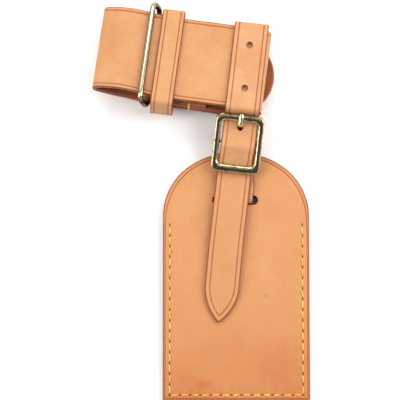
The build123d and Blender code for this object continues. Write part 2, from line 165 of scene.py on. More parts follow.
def cut(path, start, end):
    """The part of a sampled path between two distances along it."""
    length = path[2]
    keep = (length > start + MIN_STEP) & (length < end - MIN_STEP)
    return samples_at(path, np.concatenate([[start], length[keep], [end]]))


def resampled(path, extra):
    """The same path with more samples at the given distances."""
    length = path[2]
    at = np.unique(np.round(np.concatenate([length, extra]), 4))
    return samples_at(path, at[(at >= 0) & (at <= length[-1])])


# ---------------------------------------------------------------- meshes
MERGE_WITHIN = 0.002 * MM
DEGENERATE_BELOW = 0.0015 * MM


def paint_corners(mesh, name, kind, field, values):
    """A corner attribute from one value for each vertex."""
    corners = np.empty(len(mesh.loops), int)
    mesh.loops.foreach_get("vertex_index", corners)
    layer = mesh.attributes.new(name, kind, "CORNER")
    layer.data.foreach_set(field, np.asarray(values, np.float32)[corners].ravel())


def quads(a, b, count):
    """Faces between two rings of points that start at a and at b."""
    return [(a + j, a + (j + 1) % count, b + (j + 1) % count, b + j) for j in range(count)]


def end_faces(count, rings):
    """Faces that close a row of rings at its first and its last ring."""
    last = (rings - 1) * count
    return [tuple(range(count))[::-1], tuple(last + j for j in range(count))]


def mesh_object(name, points, faces, zones=None, flat=None, smooth_angle=50.0):
    """A mesh from metres, with the colour and flat-leather coordinates its material reads."""
    mesh = bpy.data.meshes.new(name)
    mesh.from_pydata([tuple(p) for p in points], [], [tuple(f) for f in faces])
    if zones is not None:
        paint_corners(mesh, "zones", "FLOAT_COLOR", "color", zones)
    if flat is not None:
        paint_corners(mesh, "flat", "FLOAT_VECTOR", "vector", flat)
    piece = bpy.data.objects.new(name, mesh)
    bpy.context.scene.collection.objects.link(piece)
    tidy_mesh(piece, smooth_angle)
    return piece


def tidy_mesh(piece, smooth_angle):
    """Merges doubles, points the faces outwards and marks sharp edges."""
    mesh = piece.data
    work = bmesh.new()
    work.from_mesh(mesh)
    bmesh.ops.remove_doubles(work, verts=work.verts, dist=MERGE_WITHIN)
    bmesh.ops.dissolve_degenerate(work, edges=work.edges, dist=DEGENERATE_BELOW)
    bmesh.ops.recalc_face_normals(work, faces=work.faces)
    limit = math.radians(smooth_angle)
    for edge in work.edges:
        edge.smooth = not (len(edge.link_faces) == 2 and edge.calc_face_angle(0) > limit)
    for face in work.faces:
        face.smooth = True
    work.to_mesh(mesh)
    work.free()


def subtract(piece, cutters):
    """Cuts solids out of a mesh and throws the cutters away."""
    for cutter in cutters:
        modifier = piece.modifiers.new("cut", "BOOLEAN")
        modifier.operation = "DIFFERENCE"
        modifier.solver = "EXACT"
        modifier.object = cutter
    bpy.context.view_layer.update()
    done = piece.evaluated_get(bpy.context.evaluated_depsgraph_get())
    mesh = bpy.data.meshes.new_from_object(done)
    piece.modifiers.clear()
    piece.data = mesh
    for cutter in cutters:
        bpy.data.objects.remove(cutter)
    return piece


def tube(points, radius, sides, closed=False, squash=1.0):
    """Points and faces of a round bar along millimetre points, with domed ends unless it is closed. squash
    flattens it along its second axis."""
    points = np.asarray(points, float)
    count = len(points)
    radii = np.broadcast_to(np.asarray(radius, float), (count,))
    if closed:
        tangents = np.roll(points, -1, 0) - np.roll(points, 1, 0)
    else:
        tangents = np.gradient(points, axis=0)
    tangents /= np.linalg.norm(tangents, axis=1)[:, None]
    seed = np.array([0, 0, 1.0]) if abs(tangents[0][2]) < 0.9 else np.array([1.0, 0, 0])
    side = np.cross(tangents[0], seed)
    side /= np.linalg.norm(side)
    rings = []
    for k in range(count):
        side = side - tangents[k] * (side @ tangents[k])
        side /= np.linalg.norm(side)
        up = np.cross(side, tangents[k])
        turn = np.linspace(0, 2 * math.pi, sides, endpoint=False)
        spokes = np.cos(turn)[:, None] * side + squash * np.sin(turn)[:, None] * up
        rings.append(points[k] + radii[k] * spokes)
    if not closed:
        for end, sign in ((0, -1), (-1, 1)):
            base, centre, direction = rings[end], points[end], tangents[end] * sign
            dome = []
            for lift in (0.5, 0.85):
                shrink = math.sqrt(1 - lift * lift)
                dome.append(centre + (base - centre) * shrink + direction * radii[end] * lift)
            rings = dome[::-1] + rings if end == 0 else rings + dome
    return loft(rings, closed)


def loft(rings, closed):
    """Points and faces of a skin over rings that have the same number of points."""
    count = len(rings[0])
    faces = []
    for k in range(len(rings) if closed else len(rings) - 1):
        faces += quads(k * count, ((k + 1) % len(rings)) * count, count)
    if not closed:
        faces += end_faces(count, len(rings))
    return np.vstack(rings), faces


def join_parts(parts):
    """Several (points, faces) as one."""
    points, faces, base = [], [], 0
    for some_points, some_faces in parts:
        points.append(np.asarray(some_points, float))
        faces += [tuple(base + i for i in face) for face in some_faces]
        base += len(some_points)
    return np.vstack(points), faces


# ---------------------------------------------------------------- leather strips
def edge_profile(half, crease, flesh):
    """Rings of one face, from the edge inwards: distance from the edge, height above the leather's middle, and
    edge, crease and flesh amounts."""
    rings = [
        (0.04, half - 0.42, 1.0, 0.0),
        (0.14, half - 0.16, 1.0, 0.0),
        (0.32, half - 0.04, 1.0, 0.0),
        (0.5, half, 0.5, 0.0),
        (0.7, half, 0.0, 0.0),
    ]
    if crease and not flesh:
        rings += [
            (crease - 0.42, half, 0.0, 0.0),
            (crease - 0.22, half - 0.1, 0.0, 0.6),
            (crease, half - 0.26, 0.0, 1.0),
            (crease + 0.22, half - 0.1, 0.0, 0.6),
            (crease + 0.46, half, 0.0, 0.0),
        ]
    side = -1.0 if flesh else 1.0
    return [(d, side * n, edge, groove, 1.0 if flesh and d > 0.5 else 0.0) for d, n, edge, groove in rings]


EDGE_WAVE = 0.05
END_ROUNDING = ((0.0, 0.25), (0.06, 0.06), (0.3, 0.0))


def strip(name, path, half_width, thickness, crease, to_frame, place, ends=("cut", "cut"), reach=None,
          columns=(0.1, 0.25, 0.45, 0.7)):
    """A ply of leather along a path, with its smooth side on the right. half_width(u, d) is half the width of the
    outline moved in by d, and reach(u) is the middle's distance from the outline. An end is cut, and so rounded,
    or a seam, and so left open where another piece goes on."""
    line, tangents, length = path
    half = thickness / 2
    right = np.stack([tangents[:, 1], -tangents[:, 0]], 1)
    grain_rings = edge_profile(half, crease, False)
    flesh_rings = edge_profile(half, crease, True)
    full = float(np.max([half_width(u, 0.0) for u in length]))
    rims = []
    for rings in (grain_rings, flesh_rings):
        last = rings[-1]
        inner = [(last[0] + (full - last[0]) * share, last[1], 0.0, 0.0, last[4]) for share in columns]
        rims.append(rings + inner + [(full, last[1], 0.0, 0.0, last[4])])
    loop = [(-1, 0.0, 0.0, 1.0, 0.0, 0.0)]
    loop += [(-1,) + ring for ring in rims[0]]
    loop += [(1,) + ring for ring in rims[0][-2::-1]]
    loop += [(1, 0.0, 0.0, 1.0, 0.0, 0.0)]
    loop += [(1,) + ring for ring in rims[1]]
    loop += [(-1,) + ring for ring in rims[1][-2::-1]]
    side, inset, height, edge, groove, flesh = np.array(loop, float).T
    stations = [(k, 0.0, 0.0) for k in range(len(line))]
    if ends[0] == "cut":
        stations = [(0, shift, pull) for shift, pull in END_ROUNDING] + stations[1:]
    if ends[1] == "cut":
        stations = stations[:-1] + [(-1, -shift, pull) for shift, pull in END_ROUNDING[::-1]]
    points, zones, flat = [], [], []
    for k, shift, pull in stations:
        u = length[k] + shift
        middle = reach(u) if reach else full
        depth = np.minimum(inset, middle)
        faces_up = [np.interp(depth, [0.0] + [r[0] for r in rim], [0.0] + [r[1] for r in rim]) for rim in rims]
        high = np.where(height >= 0, faces_up[0], faces_up[1])
        high = np.where(inset == 0, 0.0, high)
        wide = np.array([half_width(u, d) for d in inset])
        wide = np.maximum(wide - pull, 0)
        x = side * wide
        noise = EDGE_WAVE * np.sin(0.31 * u + 0.7 * np.sin(0.11 * u) + 1.3 * side)
        x = x + np.where(inset < 1.0, noise * 0.5, 0.0) * (wide > 1.0)
        high = high * (1 - pull * 0.9)
        spot = line[k] + tangents[k] * shift
        pq = spot[None, :] + high[:, None] * right[k][None, :]
        points.append(to_frame(x, pq[:, 0], pq[:, 1], u))
        end_edge = 1.0 if pull > 0 else 0.0
        zones.append(np.stack([np.maximum(edge, end_edge), groove, flesh, np.zeros_like(edge)], 1))
        flat.append(np.stack([x, np.full_like(x, u), high], 1))
    around = len(loop)
    faces = []
    for k in range(len(stations) - 1):
        faces += quads(k * around, (k + 1) * around, around)
    faces += [face for face, end in zip(end_faces(around, len(stations)), ends) if end == "cut"]
    return mesh_object(name, place(np.vstack(points)), faces, np.vstack(zones), np.vstack(flat))


LOOP_SLIP = 2.0


def in_band(x, p, q, u):
    """The band's looped end has slipped a little towards the far edge."""
    return np.stack([p, x + LOOP_SLIP * smoothstep(-p, 36.0, 60.0), q], 1)


def straight(width):
    return lambda u, d: max(width / 2 - d, 0.0)


# ---------------------------------------------------------------- materials
def srgb(red, green, blue):
    """A colour given as 0-255 display values, as the linear values a shader wants."""
    scaled = [v / 255 for v in (red, green, blue)]
    return [v / 12.92 if v <= 0.04045 else ((v + 0.055) / 1.055) ** 2.4 for v in scaled] + [1.0]


class Nodes:
    """Short names for building a node tree."""

    def __init__(self, name):
        self.material = bpy.data.materials.new(name)
        self.material.use_nodes = True
        self.tree = self.material.node_tree
        self.shader = self.tree.nodes["Principled BSDF"]

    def put(self, socket, value):
        if isinstance(value, bpy.types.NodeSocket):
            self.tree.links.new(value, socket)
        else:
            socket.default_value = value

    def node(self, kind, inputs=(), **settings):
        made = self.tree.nodes.new(kind)
        for key, value in settings.items():
            setattr(made, key, value)
        for key, value in dict(inputs).items():
            self.put(made.inputs[key], value)
        return made

    def math(self, operation, a, b=0.0, clamp=False):
        return self.node("ShaderNodeMath", {0: a, 1: b}, operation=operation, use_clamp=clamp).outputs[0]

    def times(self, a, b):
        return self.math("MULTIPLY", a, b)

    def plus(self, a, b, clamp=False):
        return self.math("ADD", a, b, clamp=clamp)

    def minus(self, a, b):
        return self.math("SUBTRACT", a, b)

    def blended(self, a, share_a, b, share_b):
        return self.plus(self.times(a, share_a), self.times(b, share_b))

    def mix(self, factor, a, b, blend="MIX"):
        made = self.node("ShaderNodeMix", {0: factor, 6: a, 7: b}, data_type="RGBA", blend_type=blend)
        return made.outputs[2]

    def attribute(self, name):
        return self.node("ShaderNodeAttribute", attribute_name=name)

    def scaled(self, vector, scale, shift=(0, 0, 0)):
        return self.node("ShaderNodeMapping", {"Vector": vector, "Scale": scale, "Location": shift}).outputs[0]

    def noise(self, vector, scale, detail=4.0, roughness=0.55, distortion=0.0):
        inputs = {"Vector": vector, "Scale": scale, "Detail": detail}
        inputs.update({"Roughness": roughness, "Distortion": distortion})
        return self.node("ShaderNodeTexNoise", inputs).outputs[0]

    def cells(self, vector, scale, feature="F1"):
        made = self.node("ShaderNodeTexVoronoi", feature=feature)
        self.put(made.inputs["Vector"], vector)
        self.put(made.inputs["Scale"], scale)
        self.put(made.inputs["Randomness"], 1.0)
        return made.outputs["Distance"]

    def between(self, value, low, high, to_low=0.0, to_high=1.0, smooth=True):
        kind = "SMOOTHSTEP" if smooth else "LINEAR"
        inputs = {"Value": value, "From Min": low, "From Max": high, "To Min": to_low, "To Max": to_high}
        return self.node("ShaderNodeMapRange", inputs, interpolation_type=kind, clamp=True).outputs[0]

    def bump(self, height, strength, distance, normal=None):
        inputs = {"Height": height, "Strength": strength, "Distance": distance * MM}
        if normal is not None:
            inputs["Normal"] = normal
        return self.node("ShaderNodeBump", inputs).outputs[0]

    def spot(self, vector, centre, radii):
        """1 at a place of the flat leather and 0 beyond a radius round it."""
        moved = self.vector_math("SUBTRACT", vector, (*centre, 0.0)).outputs[0]
        shaped = self.vector_math("MULTIPLY", moved, (1 / radii[0], 1 / radii[1], 0.0)).outputs[0]
        return self.between(self.vector_math("LENGTH", shaped).outputs["Value"], 1.0, 0.0)

    def vector_math(self, operation, a, b=(0.0, 0.0, 0.0)):
        return self.node("ShaderNodeVectorMath", {0: a, 1: b}, operation=operation)

    def millimetres(self, shift=(0, 0, 0)):
        """Object coordinates in millimetres."""
        return self.scaled(self.node("ShaderNodeTexCoord").outputs["Object"], (1 / MM,) * 3, shift)


EDGE_BROWN = srgb(158, 78, 42)
EDGE_DARK = srgb(112, 48, 28)
CREASE_BROWN = srgb(152, 74, 36)
SUEDE_LIGHT = srgb(168, 98, 58)
SUEDE_DARK = srgb(108, 54, 32)


def leather(name, pale, deep, fade=None, scratches=None, stains=(), seed=0.0, specks=0.35):
    """Vegetable-tanned leather. It reads the zones and flat attributes of its mesh. fade is the place along the
    leather where the deep tone starts and where it is full; scratches is the stretch that has them."""
    n = Nodes(name)
    flat = n.attribute("flat").outputs["Vector"]
    zones = n.attribute("zones")
    edge, groove, flesh = n.node("ShaderNodeSeparateColor", {0: zones.outputs["Color"]}).outputs
    # The alpha channel is painted shade in holes and on their walls.
    hole = zones.outputs["Alpha"]
    axes = n.node("ShaderNodeSeparateXYZ", {0: flat}).outputs
    moved = n.scaled(flat, (1, 1, 0.5), (seed, seed * 1.7, 0))
    cloud = n.noise(moved, 0.045, 3.0, 0.5)
    mottle = n.noise(moved, 0.22, 5.0, 0.6, 0.6)
    grain = n.noise(moved, 2.4, 4.0, 0.6)

    # Tone: clouds and mottling, deeper towards one end, with streaks along the fibres and pores.
    fibre = n.noise(n.scaled(flat, (1.6, 0.16, 0.4), (seed * 2, seed, 0)), 1.0, 4.0, 0.6)
    tone = n.between(n.blended(cloud, 0.6, mottle, 0.4), 0.26, 0.76)
    if fade:
        slope = n.between(n.plus(axes[1], n.times(n.minus(mottle, 0.5), 26.0)), *fade)
        tone = n.plus(n.times(tone, 0.45), n.times(slope, 0.62), clamp=True)
    colour = n.mix(tone, pale, deep)
    fine = n.between(grain, 0.3, 0.7, 0.93, 1.05, False)
    grey = n.node("ShaderNodeCombineColor", {0: fine, 1: fine, 2: fine}).outputs[0]
    colour = n.mix(1.0, colour, grey, "MULTIPLY")
    colour = n.mix(n.times(n.between(fibre, 0.52, 0.72), 0.16), colour, deep)
    pore_mask = n.times(n.between(n.cells(moved, 1.25), 0.16, 0.05), n.between(mottle, 0.42, 0.6))
    colour = n.mix(n.times(pore_mask, specks), colour, CREASE_BROWN)
    for centre, radii, amount, paint in stains:
        patch = n.spot(flat, centre, radii)
        ragged = n.between(n.plus(patch, n.times(n.minus(mottle, 0.5), 1.2)), 0.05, 1.0)
        blot = n.times(n.times(ragged, amount), n.between(patch, 0.0, 0.5))
        colour = n.mix(blot, colour, srgb(*paint))

    # Height: grain, fine tooth, creases between the grain's cells, pores and scratches.
    height = n.blended(grain, 0.5, n.noise(moved, 6.5, 2.0), 0.22)
    creases = n.cells(n.scaled(moved, (1, 0.8, 1)), 0.85, "SMOOTH_F1")
    height = n.plus(height, n.times(creases, 0.35))
    height = n.minus(height, n.times(pore_mask, 0.3))
    if scratches:
        low, high = scratches
        worn = n.times(n.between(axes[1], low, low + 6.0), n.between(axes[1], high, high - 6.0))
        for turn, scale in ((0.62, 0.5), (-0.35, 0.37), (1.2, 0.61)):
            turned = {"Vector": flat, "Rotation": (0, 0, turn), "Scale": (scale, 0.02, 0)}
            thin = n.noise(n.node("ShaderNodeMapping", turned).outputs[0], 2.3, 2.0, 0.5, 0.15)
            mark = n.between(n.math("ABSOLUTE", n.minus(thin, 0.5)), 0.012, 0.002)
            mark = n.times(n.times(mark, worn), n.between(mottle, 0.45, 0.62))
            colour = n.mix(n.times(mark, 0.3), colour, deep)
            height = n.minus(height, n.times(mark, 0.5))

    # Creased line, flesh side, edge paint, and painted shade in holes and on their walls.
    colour = n.mix(n.times(n.math("POWER", groove, 0.7), 0.72), colour, CREASE_BROWN)
    colour = n.mix(n.times(n.between(groove, 0.5, 1.0), 0.3), colour, EDGE_DARK)
    nap = n.noise(n.scaled(moved, (1.0, 0.55, 1.0)), 3.2, 6.0, 0.72, 0.8)
    suede_tone = n.between(n.blended(nap, 0.6, cloud, 0.4), 0.36, 0.64)
    colour = n.mix(flesh, colour, n.mix(suede_tone, SUEDE_DARK, SUEDE_LIGHT))
    edge_noise = n.noise(n.scaled(moved, (1.0, 0.45, 1.0)), 1.1, 5.0, 0.65)
    edge_colour = n.mix(n.between(edge_noise, 0.36, 0.62), EDGE_DARK, EDGE_BROWN)
    rub = n.between(n.plus(edge, n.times(n.minus(edge_noise, 0.5), 0.7)), 0.28, 0.62)
    colour = n.mix(rub, colour, edge_colour)
    # Painted shade: the insides and walls of holes darken towards the edge's dark brown.
    colour = n.mix(n.times(hole, 0.85), colour, EDGE_DARK)
    n.put(n.shader.inputs["Base Color"], colour)

    shine = n.between(n.blended(mottle, 0.5, grain, 0.5), 0.3, 0.7, 0.5, 0.66)
    shine = n.minus(shine, n.times(rub, 0.14))
    n.put(n.shader.inputs["Roughness"], n.plus(shine, n.times(flesh, 0.4), clamp=True))
    n.shader.inputs["Specular IOR Level"].default_value = 0.36
    low_bump = n.bump(n.plus(cloud, n.times(mottle, 0.4)), 0.5, 0.35)
    grain_bump = n.bump(height, 0.32, 0.1, low_bump)
    rough_places = n.math("MAXIMUM", flesh, n.times(edge, 0.35))
    n.put(n.shader.inputs["Normal"], n.bump(n.times(nap, rough_places), 0.8, 0.3, grain_bump))
    return n.material


# Dark olive for the painted shade (a painted dark reflection) on the sides of the ring and the prong.
SIDE_SHADE_OLIVE = srgb(84, 68, 38)


def metal(name, bright, dull, mottled, rough, seed=0.0):
    """Plated metal with fine scratches and tarnish in patches, and painted shade (a painted dark reflection) where
    the zones attribute has it.
    """
    n = Nodes(name)
    side_shade = n.node("ShaderNodeSeparateColor", {0: n.attribute("zones").outputs["Color"]}).outputs[0]
    place = n.millimetres((seed, seed, seed))
    cloud = n.noise(place, 0.55, 5.0, 0.62, 0.4)
    fine = n.noise(place, 3.5, 5.0, 0.7)
    brushed = n.noise(n.scaled(place, (0.4, 4.0, 0.4)), 1.5, 4.0, 0.6)
    tarnish = n.between(n.blended(cloud, 0.7, fine, 0.3), 0.42, 0.66)
    colour = n.mix(n.times(tarnish, mottled), bright, dull)
    # Painted shade: the faces that the zones attribute marks are darkened towards dark olive.
    side_shade_amount = n.times(side_shade, n.between(cloud, 0.2, 0.6, 0.8, 1.0))
    n.put(n.shader.inputs["Base Color"], n.mix(side_shade_amount, colour, SIDE_SHADE_OLIVE))
    n.shader.inputs["Metallic"].default_value = 1.0
    shine = n.between(fine, 0.3, 0.7, rough * 0.75, rough * 1.35)
    n.put(n.shader.inputs["Roughness"], n.plus(shine, n.times(tarnish, 0.1 * mottled)))
    n.put(n.shader.inputs["Normal"], n.bump(n.blended(brushed, 0.3, cloud, 0.5), 0.05, 0.03))
    return n.material


def waxed_thread(name, pale, deep):
    """Two-ply waxed linen: the twist is in the mesh, the fibres and the dirt are here."""
    n = Nodes(name)
    place = n.millimetres()
    cloud = n.noise(place, 0.35, 3.0)
    fibre = n.noise(n.scaled(place, (3.0, 3.0, 3.0)), 2.2, 4.0, 0.65)
    tone = n.between(n.blended(cloud, 0.6, fibre, 0.4), 0.36, 0.64)
    n.put(n.shader.inputs["Base Color"], n.mix(tone, pale, deep))
    n.put(n.shader.inputs["Roughness"], n.between(fibre, 0.3, 0.7, 0.45, 0.7))
    n.put(n.shader.inputs["Normal"], n.bump(fibre, 0.4, 0.12))
    return n.material


RULE_SPACING = 9.0
RULE_HALF_LENGTH = 24.0


def ruled_card(name):
    """Cream card stock with faint ruled lines and paper tooth."""
    n = Nodes(name)
    spot = n.node("ShaderNodeTexCoord").outputs["Object"]
    local = n.scaled(n.vector_math("SUBTRACT", spot, tuple(TAG.origin)).outputs[0], (1 / MM,) * 3)
    axes = n.node("ShaderNodeSeparateXYZ", {0: local}).outputs
    tooth = n.noise(local, 2.6, 5.0, 0.7)
    cloud = n.noise(local, 0.06, 3.0)
    paper = n.mix(n.between(cloud, 0.35, 0.65), srgb(240, 234, 216), srgb(228, 218, 192))
    step = n.math("FRACT", n.math("DIVIDE", axes[1], RULE_SPACING))
    near_rule = n.between(n.math("ABSOLUTE", n.minus(step, 0.5)), 0.028, 0.014)
    on_rule = n.between(n.math("ABSOLUTE", axes[0]), RULE_HALF_LENGTH + 0.2, RULE_HALF_LENGTH)
    paper = n.mix(n.times(n.times(near_rule, on_rule), 0.7), paper, srgb(126, 132, 142))
    n.put(n.shader.inputs["Base Color"], paper)
    n.put(n.shader.inputs["Roughness"], n.between(tooth, 0.3, 0.7, 0.7, 0.9))
    n.put(n.shader.inputs["Normal"], n.bump(tooth, 0.35, 0.06))
    return n.material


TAG_PALE, TAG_DEEP = srgb(200, 140, 90), srgb(184, 116, 64)
STRAP_PALE, STRAP_DEEP = srgb(203, 153, 108), srgb(192, 130, 82)
BAND_PALE, BAND_DEEP = srgb(200, 146, 98), srgb(190, 128, 78)
# Centre and radii on the tag's face, strength, colour.
STAINS = [
    ((-15.5, 7.5), (8.0, 3.6), 0.55, (176, 86, 34)),
    ((-30.7, 70.9), (1.3, 1.0), 0.6, (84, 100, 62)),
    ((14.3, 49.8), (2.4, 2.0), 0.35, (138, 106, 66)),
    ((22.0, 16.0), (22.0, 26.0), 0.3, (172, 92, 42)),
    ((-22.0, 4.0), (24.0, 16.0), 0.2, (170, 92, 44)),
]
tag_leather = leather("tag_leather", TAG_PALE, TAG_DEEP, fade=(62.0, 4.0), stains=STAINS, seed=3.0)
tag_back_leather = leather("tag_back_leather", TAG_PALE, TAG_DEEP, fade=(80.0, -30.0), seed=11.0)
strap_leather = leather("strap_leather", STRAP_PALE, STRAP_DEEP, seed=5.0, specks=0.25)
tongue_leather = leather("tongue_leather", STRAP_PALE, STRAP_DEEP, fade=(20.0, 110.0), seed=7.0, specks=0.3)
band_leather = leather("band_leather", BAND_PALE, BAND_DEEP, scratches=(118.0, 178.0), seed=2.0, specks=0.3)
keeper_leather = leather("keeper_leather", srgb(200, 148, 100), srgb(192, 132, 84), seed=9.0, specks=0.2)
buckle_metal = metal("buckle_metal", srgb(214, 196, 158), srgb(104, 88, 58), 0.95, 0.12, 1.0)
prong_metal = metal("prong_metal", srgb(238, 216, 172), srgb(170, 142, 92), 0.4, 0.1, 4.0)
ring_metal = metal("ring_metal", srgb(232, 214, 178), srgb(170, 150, 106), 0.35, 0.09, 6.0)
seam_thread = waxed_thread("seam_thread", srgb(246, 206, 92), srgb(216, 160, 52))
card_paper = ruled_card("card_paper")


def paint_side_shade(piece, up, low, high):
    """Painted shade, standing in for a dark reflection, on the faces of a metal piece that lean away from a
    direction.
    """
    toward = np.array([v.normal for v in piece.data.vertices], float) @ np.array(up, float)
    amount = 1 - smoothstep(np.abs(toward), low, high)
    none = np.zeros_like(amount)
    paint_corners(piece.data, "zones", "FLOAT_COLOR", "color", np.stack([amount, none, none, none + 1], 1))


def dress(piece, material):
    piece.data.materials.clear()
    piece.data.materials.append(material)
    return piece


# ---------------------------------------------------------------- handle band
BAND_WIDTH = 41.6
BAND_THICKNESS = 2.0
BAND_CREASE = 1.85
# From the end of the inner tail, round the ring's rear bar, and back over the front to the rounded outer tail.
BAND_LINE = [
    (-17.1, -7.5), (-34.0, -7.5), (-44.4, -5.75), (-47.85, -5.75), (-47.85, -10.65),
    (-44.4, -10.65), (-34.0, -9.7), (-17.0, -9.7), (1.0, -11.0), (8.6, -11.0),
    (8.6, -1.0), (-63.0, -1.0), (-71.2, -3.2), (-71.2, -7.6), (-60.0, -11.6),
    (-44.4, -12.8), (-35.0, -12.2), (-20.0, -12.2), (-2.0, -13.3), (13.5, -13.3),
]
BAND_BENDS = [8, 3, 2.35, 2.35, 3, 8, 20, 20, 4.95, 4.95, 12, 2.5, 2.5, 8, 12, 12, 12, 12]

band_path = rounded(BAND_LINE, BAND_BENDS)
band_length = band_path[2][-1]
tail_radius = BAND_WIDTH / 2
tail_centre = band_length - tail_radius
tail_steps = np.concatenate([
    tail_centre + tail_radius * np.sin(np.linspace(0, math.pi / 2, 40)),
    band_length - np.arange(0, 3.2, 0.1),
])
band_path = resampled(band_path, tail_steps)


def band_half_width(u, d):
    beyond = max(u - tail_centre, 0.0)
    return math.sqrt(max((tail_radius - d) ** 2 - beyond**2, 0.0)) if d < tail_radius else 0.0


def band_reach(u):
    return tail_radius - max(u - tail_centre, 0.0)


band = strip("handle_band_leather", band_path, band_half_width, BAND_THICKNESS, BAND_CREASE, in_band, BAND,
             reach=band_reach, ends=("cut", "seam"))
dress(band, band_leather)
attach(band, "band")
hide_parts("handle_band")


# ---------------------------------------------------------------- keeper
KEEPER_CENTRE = -38.2
KEEPER_WIDTH = 10.8
KEEPER_THICKNESS = 1.4
KEEPER_CREASE = 2.0
KEEPER_BEND = 1.0
KEEPER_HALF = 23.7
KEEPER_BACK, KEEPER_FRONT = -14.65, 1.0
KEEPER_HALF_GAP = 0.06
keeper_line = [(KEEPER_HALF_GAP, KEEPER_BACK), (KEEPER_HALF, KEEPER_BACK), (KEEPER_HALF, KEEPER_FRONT)]
keeper_line += [(-y, z) for y, z in keeper_line[::-1]]


def in_keeper(x, p, q, u):
    return np.stack([x + KEEPER_CENTRE, p, q], 1)


keeper = strip("band_keeper_leather", rounded(keeper_line, [KEEPER_BEND] * 4), straight(KEEPER_WIDTH),
               KEEPER_THICKNESS, KEEPER_CREASE, in_keeper, BAND, columns=(0.3, 0.65))
dress(keeper, keeper_leather)
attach(keeper, "keeper")
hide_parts("band_keeper")


# ---------------------------------------------------------------- narrow strap
STRAP_WIDTH = 16.5
STRAP_THICKNESS = 1.5
STRAP_CREASE = 2.3
BAND_TILT = math.asin(-band_axes[1][2])
BAND_MIDDLE_AT, BAND_MIDDLE_HEIGHT = 62.6, 19.05


def band_to_strap(across_band, depth):
    """A point of the band's cross-section as the strap's along and height."""
    c, s = math.cos(BAND_TILT), math.sin(BAND_TILT)
    return (BAND_MIDDLE_AT + across_band * c + depth * s, BAND_MIDDLE_HEIGHT + depth * c - across_band * s)


def face_height(s):
    """The tag's front face above the floor, at a place along the strap."""
    return 6.01 + 0.0208 * s


# The fold round the buckle's bar: its tail, where its plies start to slope, its nose, and their heights.
FOLD_TAIL = (20.8, 7.65)
FOLD_SLOPES_AT, FOLD_NOSE_AT = 25.56, 29.01
FOLD_LOW, FOLD_HIGH = 9.67, 13.37
LANDING = (17.3, face_height(17.3) + 0.95)
FOOT_AT = 24.0
# The wrap round the band, in the band's own across and depth.
WRAP_NEAR, WRAP_FAR, WRAP_BACK, WRAP_FRONT = -21.8, 22.7, -15.3, 1.0
strap_line = [
    FOLD_TAIL, (FOLD_SLOPES_AT, FOLD_LOW), (FOLD_NOSE_AT, FOLD_LOW),
    (FOLD_NOSE_AT, FOLD_HIGH), (FOLD_SLOPES_AT, FOLD_HIGH),
    LANDING, (0.0, face_height(0) + 0.95), (0.0, STRAP_THICKNESS / 2), (FOOT_AT, STRAP_THICKNESS / 2),
    band_to_strap(WRAP_NEAR, WRAP_BACK), band_to_strap(WRAP_FAR, WRAP_BACK),
    band_to_strap(WRAP_FAR, WRAP_FRONT), band_to_strap(WRAP_NEAR, WRAP_FRONT),
    (40.15, 16.19), (37.68, 15.99), (29.16, 15.07), (24.46, 15.07), (15.9, face_height(15.9) + 3.12),
    (12.6, face_height(12.6) + 2.65), (-3.0, face_height(-3) + 3.0), (-59.5, face_height(-59.5) + 1.05),
]
strap_bends = [3, 1.8, 1.8, 3, 3, 0.9, 0.9, 8, 4, 2.6, 2.6, 1.6, 0.9, 2, 6, 3, 3, 8, 60]
strap_path = rounded(strap_line, strap_bends)
strap_length = strap_path[2][-1]

# Where one visual piece goes on as the next: under the tag, on the band's face, under the buckle.
samples = [(u, s, z) for (s, z), u in zip(strap_path[0], strap_path[2])]
under_tag = max(u for u, s, z in samples if z < 1.0 and s < 20.0)
on_band = min(u for u, s, z in samples if u > under_tag + 70 and z > 19 and s < 48.0)
under_buckle = min(u for u, s, z in samples if u > on_band + 20 and s < 15.4)

LOWER_PLY_SLIP = 1.6
FREE_END_SLIP = -0.5


def lean(u, s):
    """How far the ply has slipped sideways: the lower ply to the right at the slot, the free end to the left."""
    if u < under_tag + 1:
        return LOWER_PLY_SLIP * (1 - float(smoothstep(s, 5.0, 18.0)))
    if u > on_band:
        return FREE_END_SLIP * (1 - float(smoothstep(s, 16.0, 30.0))) * float(smoothstep(s, -52.0, -20.0))
    return 0.0


def in_strap(x, p, q, u):
    return np.stack([x + lean(u, float(np.mean(p))), p, q], 1)


def strap_piece(name, start, end, half_width, ends, reach=None, extra=()):
    part = cut(resampled(strap_path, np.array(extra)), start, end)
    return strip(name, part, half_width, STRAP_THICKNESS, STRAP_CREASE, in_strap, STRAP, ends=ends, reach=reach)


plain_width = straight(STRAP_WIDTH)
hitch_ply = strap_piece("strap_hitch_ply", 0.0, under_tag, plain_width, ("cut", "seam"))
wrap_ply = strap_piece("strap_wrap_ply", under_tag, on_band, plain_width, ("seam", "seam"))
neck_ply = strap_piece("strap_neck_ply", on_band, under_buckle, plain_width, ("seam", "seam"))


def circle_through(a, b, c):
    """Centre and radius of the circle through three points."""
    a, b, c = np.array(a), np.array(b), np.array(c)
    centre = np.linalg.solve(np.array([b - a, c - a]), 0.5 * np.array([b @ b - a @ a, c @ c - a @ a]))
    return centre, math.hypot(*(a - centre))


TIP_AT = -59.5
SHOULDER_AT = -42.5
TIP_SIDE = (5.61, -52.36)
TAPER_BELOW = SHOULDER_AT + 4
tip_centre, tip_radius = circle_through((STRAP_WIDTH / 2, SHOULDER_AT), TIP_SIDE, (0.0, TIP_AT))


def strap_at(u):
    return float(np.interp(u, strap_path[2], strap_path[0][:, 0]))


def tongue_half_width(u, d):
    beyond = strap_at(u) - tip_centre[1]
    wide = STRAP_WIDTH / 2 - d
    if beyond < 0 and strap_at(u) < TAPER_BELOW:
        root = (tip_radius - d) ** 2 - beyond**2
        wide = min(wide, tip_centre[0] + math.sqrt(root)) if root > 0 else 0.0
    return max(wide, 0.0)


